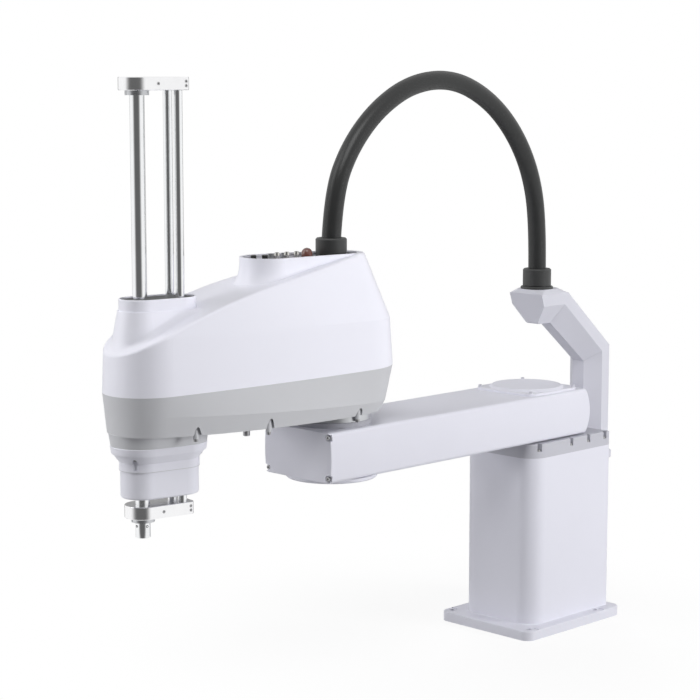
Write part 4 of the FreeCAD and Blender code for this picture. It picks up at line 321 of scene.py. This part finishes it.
def mirror_group():
    """How light the studio looks to metal: dark by the camera, grey behind the robot."""
    known = bpy.data.node_groups.get("Studio Mirror")
    if known:
        return known
    tree, source, sink = new_group(
        "Studio Mirror", (("Way", "NodeSocketVector", None),), (("Shade", "NodeSocketFloat"),))
    nodes, links = tree.nodes, tree.links
    least = nodes.new("ShaderNodeMath")
    least.operation = "MINIMUM"
    for number, (centre, edge, core, dark) in enumerate(MIRROR_PATCHES):
        toward = nodes.new("ShaderNodeVectorMath")
        toward.operation = "DOT_PRODUCT"
        toward.inputs[1].default_value = centre
        shade = nodes.new("ShaderNodeMapRange")
        shade.interpolation_type = "SMOOTHSTEP"
        shade.inputs["From Min"].default_value = edge
        shade.inputs["From Max"].default_value = core
        shade.inputs["To Min"].default_value = 1.0
        shade.inputs["To Max"].default_value = dark
        links.new(source.outputs["Way"], toward.inputs[0])
        links.new(toward.outputs["Value"], shade.inputs["Value"])
        links.new(shade.outputs["Result"], least.inputs[number])
    links.new(least.outputs[0], sink.inputs["Shade"])
    return tree


def add_group(owner, tree, values):
    """Places a node group in a material or world with its own values."""
    node = owner.node_tree.nodes.new("ShaderNodeGroup")
    node.node_tree = tree
    for name, value in values.items():
        node.inputs[name].default_value = value
    return node


def new_material(name, metallic=0.0, coat=0.0, ior=1.5, specular=0.5):
    """A material with its constants set on the shader's own sockets."""
    material = bpy.data.materials.new(name)
    material.use_nodes = True
    shader = material.node_tree.nodes["Principled BSDF"]
    shader.inputs["Metallic"].default_value = metallic
    shader.inputs["Coat Weight"].default_value = coat
    shader.inputs["IOR"].default_value = ior
    shader.inputs["Specular IOR Level"].default_value = specular
    return material, shader


def shaded(colour, share):
    """The same colour a little darker."""
    return tuple(share * value for value in colour[:3])


def painted(name, colour, roughness, grain, depth, soil, coat=0.0, specular=0.5):
    """Powder coat, enamel or moulded plastic."""
    material, shader = new_material(name, coat=coat, specular=specular)
    links = material.node_tree.links
    tone = add_group(material, tone_group(), {
        "Colour": (*colour[:3], 1.0), "Soil": (*shaded(colour, 0.72), 1.0),
        "Amount": soil, "Patch Scale": 4.0})
    coat_grain = add_group(material, grain_group(), {
        "Grain Scale": grain, "Grain Depth": depth, "Roughness": roughness, "Drift": 0.08})
    links.new(tone.outputs["Colour"], shader.inputs["Base Color"])
    links.new(coat_grain.outputs["Roughness"], shader.inputs["Roughness"])
    links.new(coat_grain.outputs["Normal"], shader.inputs["Normal"])
    return material


def metal(name, colour, roughness, spread, stretch, scale=40.0):
    """Bare machined, ground or plated metal."""
    material, shader = new_material(name, metallic=1.0)
    links = material.node_tree.links
    tone = add_group(material, tone_group(), {
        "Colour": (*colour[:3], 1.0), "Soil": (*shaded(colour, 0.7), 1.0),
        "Amount": 0.15, "Patch Scale": 20.0})
    marks = add_group(material, turned_group(), {
        "Stretch": stretch, "Scale": scale, "Roughness": roughness, "Spread": spread,
        "Depth": 0.00001})
    links.new(tone.outputs["Colour"], shader.inputs["Base Color"])
    links.new(marks.outputs["Roughness"], shader.inputs["Roughness"])
    links.new(marks.outputs["Normal"], shader.inputs["Normal"])
    return material


def slot_materials(finish):
    """One finish for each material slot of the record."""
    # Paints: name, colour, roughness, grain scale, grain depth, share of handling marks.
    # Metals: name, colour, roughness, its spread, stretch of the marks, their scale.
    return {
        "white_enamel": painted("Pedestal Enamel", finish.enamel, 0.40, 700.0, 0.00006, 0.06),
        "bracket_enamel": painted("Bracket Enamel", shaded(finish.enamel, 0.86), 0.42, 600.0,
                                  0.00006, 0.08),
        "cover_white": painted("Moulded Cover", finish.cover, 0.34, 1100.0, 0.00002, 0.03),
        "grey_enamel": painted("Housing Grey", finish.grey, 0.45, 600.0, 0.00006, 0.08),
        "steel": metal("Socket Screw Steel", (0.46, 0.46, 0.47), 0.22, 0.18,
                       (30.0, 30.0, 1.0), 60.0),
        "shaft_chrome": metal("Ground Shaft", (0.90, 0.91, 0.92), 0.09, 0.05,
                              (1.0, 1.0, 90.0)),
        "plate_metal": metal("Polished Plate", (0.93, 0.93, 0.94), 0.13, 0.12,
                             (1.0, 40.0, 1.0), 30.0),
        "bare_metal": metal("Machined Metal", (0.62, 0.63, 0.65), 0.26, 0.16,
                            (1.0, 1.0, 40.0)),
        "brass": metal("Nickelled Brass", (0.70, 0.69, 0.66), 0.15, 0.12, (1.0, 1.0, 40.0)),
        "motor_black": painted("Motor Black", (0.03, 0.03, 0.033), 0.5, 500.0, 0.00008, 0.2),
        "black_plastic": painted("Gland Nylon", finish.hose, 0.42, 800.0, 0.00004, 0.2),
        "dark_seal": painted("Seal Plate", (0.05, 0.052, 0.055), 0.55, 900.0, 0.00003, 0.2),
        "black_rubber": painted("Hose Skin", shaded(finish.hose, 0.8), 0.33, 1400.0, 0.00002,
                                0.25, specular=0.32),
        "belt_rubber": painted("Belt Rubber", (0.03, 0.03, 0.03), 0.6, 900.0, 0.00005, 0.3),
        "lamp_red": painted("Lamp Lens", finish.lamp, 0.12, 300.0, 0.00002, 0.2, coat=0.6),
    }


def node_materials(finish):
    """Finishes of the nodes that differ a little from the rest of their slot; the crown's and
    the bearing ring's darker enamel carries painted shade.
    """
    # The crown's enamel is darker, partly its own tone and partly painted shade of the first
    # arm above it.
    crown_tone_and_shade = painted("Head Enamel", shaded(finish.enamel, 0.70), 0.42, 650.0, 0.00006, 0.08)
    nose = painted("Nose Enamel", shaded(finish.cover, 0.92), 0.40, 650.0, 0.00005, 0.06)
    # The bearing ring is painted much darker than the enamel: painted shade of the narrow gap
    # between the two arms.
    ring = painted("Ring Enamel", shaded(finish.enamel, 0.55), 0.45, 650.0, 0.00005, 0.10)
    screw = painted("Screw Enamel", shaded(finish.enamel, 0.80), 0.30, 900.0, 0.00003, 0.10)
    shelf = painted("Shelf Floor", (0.06, 0.061, 0.064), 0.5, 800.0, 0.00004, 0.2)
    return {"base_crown": crown_tone_and_shade, "nose_flange": nose, "nose_cover": nose,
            "j2_bearing_ring": ring, "j1_cover_screws": screw, "connector_plate": shelf}


# Modelling helpers
def clear_selection():
    """Leaves edit mode and selects nothing."""
    if bpy.context.mode != "OBJECT":
        bpy.ops.object.mode_set(mode="OBJECT")
    bpy.ops.object.select_all(action="DESELECT")


def choose(piece):
    """Makes one piece the only selected and the active object."""
    clear_selection()
    piece.select_set(True)
    bpy.context.view_layer.objects.active = piece


def freeze(piece, name):
    """Writes the object's place into its mesh and names it."""
    choose(piece)
    bpy.ops.object.transform_apply(location=True, rotation=True, scale=True)
    piece.name = name
    piece.data.name = name
    return piece


def tidy_mesh(piece):
    """Merges doubles and turns every face outward."""
    choose(piece)
    bpy.ops.object.mode_set(mode="EDIT")
    bpy.ops.mesh.select_all(action="SELECT")
    bpy.ops.mesh.remove_doubles(threshold=MERGE_GAP)
    bpy.ops.mesh.normals_make_consistent(inside=False)
    bpy.ops.object.mode_set(mode="OBJECT")
    bpy.ops.object.shade_smooth_by_angle(angle=SMOOTH_ANGLE)


def pick(piece, kind, test):
    """Goes to edit mode with the faces or points that pass the test selected."""
    choose(piece)
    bpy.ops.object.mode_set(mode="EDIT")
    bpy.ops.mesh.select_mode(type=kind)
    bpy.ops.mesh.select_all(action="DESELECT")
    bpy.ops.object.mode_set(mode="OBJECT")
    for part in piece.data.polygons if kind == "FACE" else piece.data.vertices:
        part.select = test(part)
    bpy.ops.object.mode_set(mode="EDIT")


def soften(piece, width):
    """Rounds the sharp edges of a piece."""
    choose(piece)
    bevel = piece.modifiers.new("Edges", "BEVEL")
    bevel.width = width
    bevel.segments = 2
    bevel.limit_method = "ANGLE"
    bevel.angle_limit = BEVEL_ANGLE
    bpy.ops.object.modifier_apply(modifier=bevel.name)


def turned(name, radius, height, foot, steps):
    """A round part on the z axis: a cylinder whose top goes up and in by steps.

    Each step is a rise and the share that the radius keeps.
    """
    clear_selection()
    bpy.ops.mesh.primitive_cylinder_add(vertices=TURNED_SIDES, radius=radius, depth=height,
                                        location=(0.0, 0.0, foot + height / 2))
    piece = freeze(bpy.context.object, name)
    top = max(vertex.co.z for vertex in piece.data.vertices)
    pick(piece, "FACE", lambda face: face.normal.z > 0.9 and face.center.z > top - FACE_GAP)
    for rise, share in steps:
        bpy.ops.mesh.extrude_region_move(TRANSFORM_OT_translate={"value": (0.0, 0.0, rise)})
        bpy.ops.transform.resize(value=(share, share, 1.0))
    bpy.ops.object.mode_set(mode="OBJECT")
    soften(piece, TURNED_EDGE)
    tidy_mesh(piece)
    return piece


class ROBOT_OT_stage(bpy.types.Operator):
    """Floor, room, lamps and the camera at the photograph's angle"""

    bl_idname = "robot.stage"
    bl_label = "Stage"

    def execute(self, context):
        studio = context.scene.robot_studio
        self.make_camera(context, studio)
        self.make_world(context, studio)
        self.make_floor()
        for name, setting, place, size in LAMPS:
            self.make_lamp(context, name, place, size, getattr(studio, setting))
        context.scene.view_settings.view_transform = "Standard"
        return {"FINISHED"}

    def make_camera(self, context, studio):
        """The camera at the place and turn that were fitted to the photograph."""
        data = bpy.data.cameras.new("Camera")
        data.lens = studio.camera_lens
        data.sensor_width = 36.0
        camera = bpy.data.objects.new("Camera", data)
        context.scene.collection.objects.link(camera)
        camera.location = studio.camera_place
        camera.rotation_euler = (math.pi / 2 - studio.camera_pitch, 0.0, studio.camera_heading)
        context.scene.camera = camera

    def make_world(self, context, studio):
        """Even room light, white to the camera and patched for reflections."""
        world = bpy.data.worlds.new("Studio Room")
        context.scene.world = world
        world.use_nodes = True
        nodes, links = world.node_tree.nodes, world.node_tree.links
        room = nodes["Background"]
        room.inputs["Color"].default_value = (0.97, 0.98, 1.0, 1.0)
        room.inputs["Strength"].default_value = studio.room
        backdrop = nodes.new("ShaderNodeBackground")
        backdrop.inputs["Color"].default_value = WHITE
        backdrop.inputs["Strength"].default_value = 1.0
        reflected = nodes.new("ShaderNodeBackground")
        reflected.inputs["Strength"].default_value = 1.0
        way = nodes.new("ShaderNodeTexCoord")
        shades = add_group(world, mirror_group(), {})
        links.new(way.outputs["Generated"], shades.inputs["Way"])
        links.new(shades.outputs["Shade"], reflected.inputs["Color"])
        path = nodes.new("ShaderNodeLightPath")
        mirror = nodes.new("ShaderNodeMixShader")
        links.new(path.outputs["Is Glossy Ray"], mirror.inputs["Fac"])
        links.new(room.outputs["Background"], mirror.inputs[1])
        links.new(reflected.outputs["Background"], mirror.inputs[2])
        clear = nodes.new("ShaderNodeMath")
        clear.operation = "MAXIMUM"
        links.new(path.outputs["Is Camera Ray"], clear.inputs[0])
        links.new(path.outputs["Is Transmission Ray"], clear.inputs[1])
        seen = nodes.new("ShaderNodeMixShader")
        links.new(clear.outputs[0], seen.inputs["Fac"])
        links.new(mirror.outputs["Shader"], seen.inputs[1])
        links.new(backdrop.outputs["Background"], seen.inputs[2])
        links.new(seen.outputs["Shader"], nodes["World Output"].inputs["Surface"])

    def make_floor(self):
        """A pale round floor whose edge goes over into the white backdrop."""
        clear_selection()
        low = CAD_BOX[0]
        bpy.ops.mesh.primitive_circle_add(vertices=96, radius=FLOOR_RADIUS, fill_type="NGON",
                                          location=(*FLOOR_CENTRE, low.z))
        floor = freeze(bpy.context.object, "studio_floor")
        material = bpy.data.materials.new("Studio Floor")
        material.use_nodes = True
        nodes, links = material.node_tree.nodes, material.node_tree.links
        shader = nodes["Principled BSDF"]
        shader.inputs["Base Color"].default_value = FLOOR_TONE
        shader.inputs["Roughness"].default_value = 0.9
        shader.inputs["Specular IOR Level"].default_value = 0.1
        place = nodes.new("ShaderNodeTexCoord")
        path = nodes.new("ShaderNodeLightPath")

        # What the camera sees: lit paper near the pedestal, plain white further out
        paper = nodes.new("ShaderNodeBsdfDiffuse")
        paper.inputs["Color"].default_value = WHITE
        glow = nodes.new("ShaderNodeEmission")
        glow.inputs["Color"].default_value = WHITE
        spread = nodes.new("ShaderNodeVectorMath")
        spread.operation = "DISTANCE"
        spread.inputs[1].default_value = (*FADE_CENTRE, low.z)
        fade = nodes.new("ShaderNodeMapRange")
        fade.interpolation_type = "SMOOTHSTEP"
        fade.inputs["From Min"].default_value = FADE_NEAR
        fade.inputs["From Max"].default_value = FADE_FAR
        fade.inputs["To Min"].default_value = FADE_SHARE
        fade.inputs["To Max"].default_value = 1.0
        shown = nodes.new("ShaderNodeMixShader")
        links.new(place.outputs["Object"], spread.inputs[0])
        links.new(spread.outputs["Value"], fade.inputs["Value"])
        links.new(fade.outputs["Result"], shown.inputs["Fac"])
        links.new(paper.outputs["BSDF"], shown.inputs[1])
        links.new(glow.outputs["Emission"], shown.inputs[2])

        # What metal reflects: the same patches as the room, seen from the tool
        away = nodes.new("ShaderNodeVectorMath")
        away.operation = "SUBTRACT"
        away.inputs[1].default_value = (TOOL.x, TOOL.y, MIRROR_HEIGHT)
        way = nodes.new("ShaderNodeVectorMath")
        way.operation = "NORMALIZE"
        shades = add_group(material, mirror_group(), {})
        mirrored = nodes.new("ShaderNodeEmission")
        links.new(place.outputs["Object"], away.inputs[0])
        links.new(away.outputs["Vector"], way.inputs[0])
        links.new(way.outputs["Vector"], shades.inputs["Way"])
        links.new(shades.outputs["Shade"], mirrored.inputs["Color"])

        mirror = nodes.new("ShaderNodeMixShader")
        links.new(path.outputs["Is Glossy Ray"], mirror.inputs["Fac"])
        links.new(shader.outputs["BSDF"], mirror.inputs[1])
        links.new(mirrored.outputs["Emission"], mirror.inputs[2])
        seen = nodes.new("ShaderNodeMixShader")
        links.new(path.outputs["Is Camera Ray"], seen.inputs["Fac"])
        links.new(mirror.outputs["Shader"], seen.inputs[1])
        links.new(shown.outputs["Shader"], seen.inputs[2])
        links.new(seen.outputs["Shader"], nodes["Material Output"].inputs["Surface"])
        floor.data.materials.append(material)

    def make_lamp(self, context, name, place, size, power):
        """A square soft lamp turned toward the robot."""
        data = bpy.data.lights.new(name, "AREA")
        data.shape = "SQUARE"
        data.size = size
        data.energy = power
        lamp = bpy.data.objects.new(name, data)
        context.scene.collection.objects.link(lamp)
        lamp.location = place
        lamp.rotation_euler = (LAMP_AIM - Vector(place)).to_track_quat("-Z", "Y").to_euler()
        lamp.visible_camera = False
        lamp.visible_glossy = place[2] > REFLECTED_LAMP_HEIGHT


class ROBOT_OT_finishes(bpy.types.Operator):
    """Paints, plastics and metals on every piece of the frame"""

    bl_idname = "robot.finishes"
    bl_label = "Finishes"

    def execute(self, context):
        finish = context.scene.robot_finish
        made = slot_materials(finish)
        own = node_materials(finish)
        slots = {entry["node"]: entry["material_slot"] for entry in frame["record"]["subparts"]}
        for name, node in NODES.items():
            material = own.get(name) or made[slots[name]]
            if not node.material_slots:
                node.data.materials.append(material)
            for slot in node.material_slots:
                slot.material = material
        return {"FINISHED"}


class ROBOT_OT_hose(bpy.types.Operator):
    """Cable hose that arches from the bracket's gland to the second arm's gland"""

    bl_idname = "robot.hose"
    bl_label = "Cable Hose"

    def execute(self, context):
        hose = context.scene.robot_hose
        data = bpy.data.curves.new("cable_hose", "CURVE")
        data.dimensions = "3D"
        data.resolution_u = 16
        spline = data.splines.new("NURBS")
        spline.points.add(len(HOSE_ROUTE) - 1)
        for point, (x, z) in zip(spline.points, HOSE_ROUTE):
            point.co = (x, 0.0, z, 1.0)
        spline.order_u = 3
        spline.use_endpoint_u = True
        piece = bpy.data.objects.new("cable_hose", data)
        context.scene.collection.objects.link(piece)
        line = bpy.data.meshes.new_from_object(piece)
        data.bevel_depth = hose.diameter / 2
        data.bevel_resolution = 12
        data.use_fill_caps = True
        choose(piece)
        bpy.ops.object.convert(target="MESH")
        piece = freeze(context.object, "cable_hose")
        tidy_mesh(piece)
        piece.data.materials.clear()
        piece.data.materials.append(bpy.data.materials["Hose Skin"])
        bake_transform(piece)
        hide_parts("umbilical_hose")
        return {"FINISHED"}


class ROBOT_OT_shelf_plugs(bpy.types.Operator):
    """Two capped plugs at the front of the connector shelf"""

    bl_idname = "robot.shelf_plugs"
    bl_label = "Shelf Plugs"

    spots = ((0.893, -0.052), (0.871, -0.038))
    collar_steps = ((0.0, 0.90), (0.002, 1.0), (0.0, 0.92), (0.003, 1.0))
    body_steps = ((0.003, 1.0), (0.0, 1.12), (0.002, 1.0), (0.001, 0.82))

    def execute(self, context):
        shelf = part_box("connector_plate")[1].z
        collar = turned("plug_collar", 0.0095, 0.006, shelf, self.collar_steps)
        body = turned("plug_body", 0.0065, 0.006, shelf + 0.008, self.body_steps)
        for number, (x, y) in enumerate(self.spots, 1):
            for pattern, finish, slot in ((collar, "Nickelled Brass", "brass"),
                                          (body, "Gland Nylon", "black_plastic")):
                piece = pattern.copy()
                piece.data = pattern.data.copy()
                context.scene.collection.objects.link(piece)
                piece.location = (x, y, 0.0)
                piece = freeze(piece, "%s_%d" % (pattern.name, number))
                piece.data.materials.append(bpy.data.materials[finish])
                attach(piece, "arm_2")
        for pattern in (collar, body):
            bpy.data.objects.remove(pattern)
        return {"FINISHED"}


class ROBOT_OT_signal_lamp(bpy.types.Operator):
    """Domed lens of the signal lamp on its ring"""

    bl_idname = "robot.signal_lamp"
    bl_label = "Signal Lamp"

    radius = 0.0132
    height = 0.019
    dome_steps = ((0.0, 0.94), (0.0044, 0.94), (0.0036, 0.81), (0.0026, 0.65), (0.0012, 0.52),
                  (0.0004, 0.34))

    def execute(self, context):
        centre = middle("signal_lamp")
        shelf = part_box("connector_plate")[1].z
        lens = turned("lamp_lens", self.radius, self.height, shelf, self.dome_steps)
        lens.location = (centre.x, centre.y, 0.0)
        lens = freeze(lens, "lamp_lens")
        lens.data.materials.append(bpy.data.materials["Lamp Lens"])
        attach(lens, "arm_2")
        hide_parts("signal_lamp")
        return {"FINISHED"}


class ROBOT_OT_nose_rings(bpy.types.Operator):
    """Pale collar at the top of the nose flange and the dark seam over its lower cover"""

    bl_idname = "robot.nose_rings"
    bl_label = "Nose Rings"

    sides = 96
    cover_radius = 0.048
    # Radius and height above the foot of each turn of the two profiles
    collar_profile = ((0.0665, 0.0), (0.0674, 0.002), (0.0680, 0.008), (0.0694, 0.016),
                      (0.0688, 0.0172), (0.0680, 0.0172))
    collar_drop = 0.002
    collar_stretch = 0.085
    seam_profile = ((0.0478, 0.0), (0.0503, 0.0002), (0.0503, 0.0014), (0.0478, 0.0016))
    seam_drop = 0.0006

    def execute(self, context):
        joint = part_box("nose_flange")[1].z
        collar = self.ring("nose_collar", joint - self.collar_drop, self.collar_profile,
                           self.collar_stretch)
        collar.data.materials.append(bpy.data.materials["Nose Enamel"])
        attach(collar, "arm_2")
        low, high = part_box("nose_cover")
        stretch = (high.x - low.x - 2 * self.cover_radius) / math.cos(ARM_TURN)
        line = self.ring("nose_seam", high.z - self.seam_drop, self.seam_profile, stretch)
        line.data.materials.append(bpy.data.materials["Housing Grey"])
        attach(line, "arm_2")
        return {"FINISHED"}

    def ring(self, name, low, profile, stretch):
        """A long rounded ring: a circle raised by steps, then parted along the arm."""
        clear_selection()
        radius, height = profile[0]
        bpy.ops.mesh.primitive_circle_add(vertices=self.sides, radius=radius,
                                          fill_type="NOTHING", location=(0.0, 0.0, low),
                                          rotation=(0.0, 0.0, math.pi / self.sides))
        piece = freeze(bpy.context.object, name)
        bpy.ops.object.mode_set(mode="EDIT")
        bpy.ops.mesh.select_mode(type="EDGE")
        bpy.ops.mesh.select_all(action="SELECT")
        for wide, rise in profile[1:]:
            bpy.ops.mesh.extrude_region_move(
                TRANSFORM_OT_translate={"value": (0.0, 0.0, rise - height)})
            share = wide / radius
            bpy.ops.transform.resize(value=(share, share, 1.0))
            height, radius = rise, wide
        bpy.ops.object.mode_set(mode="OBJECT")
        pick(piece, "VERT", lambda vertex: vertex.co.x < 0.0)
        bpy.ops.transform.translate(value=(-stretch, 0.0, 0.0))
        bpy.ops.object.mode_set(mode="OBJECT")
        piece.rotation_euler = (0.0, 0.0, ARM_TURN)
        piece.location = (TOOL.x, TOOL.y, 0.0)
        piece = freeze(piece, name)
        tidy_mesh(piece)
        return piece


class ROBOT_OT_tool_end(bpy.types.Operator):
    """Bored end of the tool shaft with its two set screws"""

    bl_idname = "robot.tool_end"
    bl_label = "Tool End"

    radius = 0.0163
    overhang = 0.0145
    sleeve_steps = ((0.0, 0.92), (0.0008, 0.96), (0.0, 0.62), (-0.018, 1.0))
    screw_radius, screw_height = 0.0030, 0.0012
    screw_steps = ((0.0, 0.62), (-0.0008, 1.0))
    screw_reach = 0.0157
    screw_rise = 0.026
    screw_degrees = (85.0, -5.0)

    def execute(self, context):
        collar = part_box("shaft_collars")[0].z
        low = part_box("tool_shaft")[0].z - self.overhang
        sleeve = turned("tool_end", self.radius, collar - low, 0.0, self.sleeve_steps)
        sleeve.rotation_euler = (math.pi, 0.0, 0.0)
        sleeve.location = (TOOL.x, TOOL.y, collar)
        sleeve = freeze(sleeve, "tool_end")
        self.place(sleeve, "Ground Shaft", "shaft_chrome")
        for number, degrees in enumerate(self.screw_degrees, 1):
            screw = turned("set_screw", self.screw_radius, self.screw_height, 0.0,
                           self.screw_steps)
            turn = math.radians(degrees)
            screw.rotation_euler = (0.0, math.pi / 2, turn)
            screw.location = (TOOL.x + self.screw_reach * math.cos(turn),
                              TOOL.y + self.screw_reach * math.sin(turn),
                              low + self.screw_rise)
            screw = freeze(screw, "tool_set_screw_%d" % number)
            self.place(screw, "Motor Black", "motor_black")
        return {"FINISHED"}

    def place(self, piece, finish, slot):
        """Finish and body of a piece on the tool shaft."""
        piece.data.materials.append(bpy.data.materials[finish])
        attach(piece, "tool_shaft")


class ROBOT_PT_panel(bpy.types.Panel):
    """Every step of the dressing, in order"""

    bl_idname = "ROBOT_PT_panel"
    bl_label = "Robot"
    bl_space_type = "VIEW_3D"
    bl_region_type = "UI"
    bl_category = "Robot"

    def draw(self, context):
        for settings in ("robot_studio", "robot_finish", "robot_hose"):
            group = getattr(context.scene, settings)
            box = self.layout.box()
            for name in group.bl_rna.properties.keys():
                if name not in ("rna_type", "name"):
                    box.prop(group, name)
        for step in STEPS:
            self.layout.operator(step.bl_idname)


GROUPS = {"robot_finish": FinishSettings, "robot_hose": HoseSettings,
          "robot_studio": StudioSettings}
STEPS = (ROBOT_OT_stage, ROBOT_OT_finishes, ROBOT_OT_hose, ROBOT_OT_shelf_plugs,
         ROBOT_OT_signal_lamp, ROBOT_OT_nose_rings, ROBOT_OT_tool_end)


def register():
    for name, group in GROUPS.items():
        bpy.utils.register_class(group)
        setattr(bpy.types.Scene, name, bpy.props.PointerProperty(type=group))
    for step in STEPS:
        bpy.utils.register_class(step)
    bpy.utils.register_class(ROBOT_PT_panel)


def unregister():
    bpy.utils.unregister_class(ROBOT_PT_panel)
    for step in reversed(STEPS):
        bpy.utils.unregister_class(step)
    for name, group in GROUPS.items():
        delattr(bpy.types.Scene, name)
        bpy.utils.unregister_class(group)


def main():
    register()
    for step in STEPS:
        family, action = step.bl_idname.split(".")
        getattr(getattr(bpy.ops, family), action)()


if __name__ == "__main__":
    main()
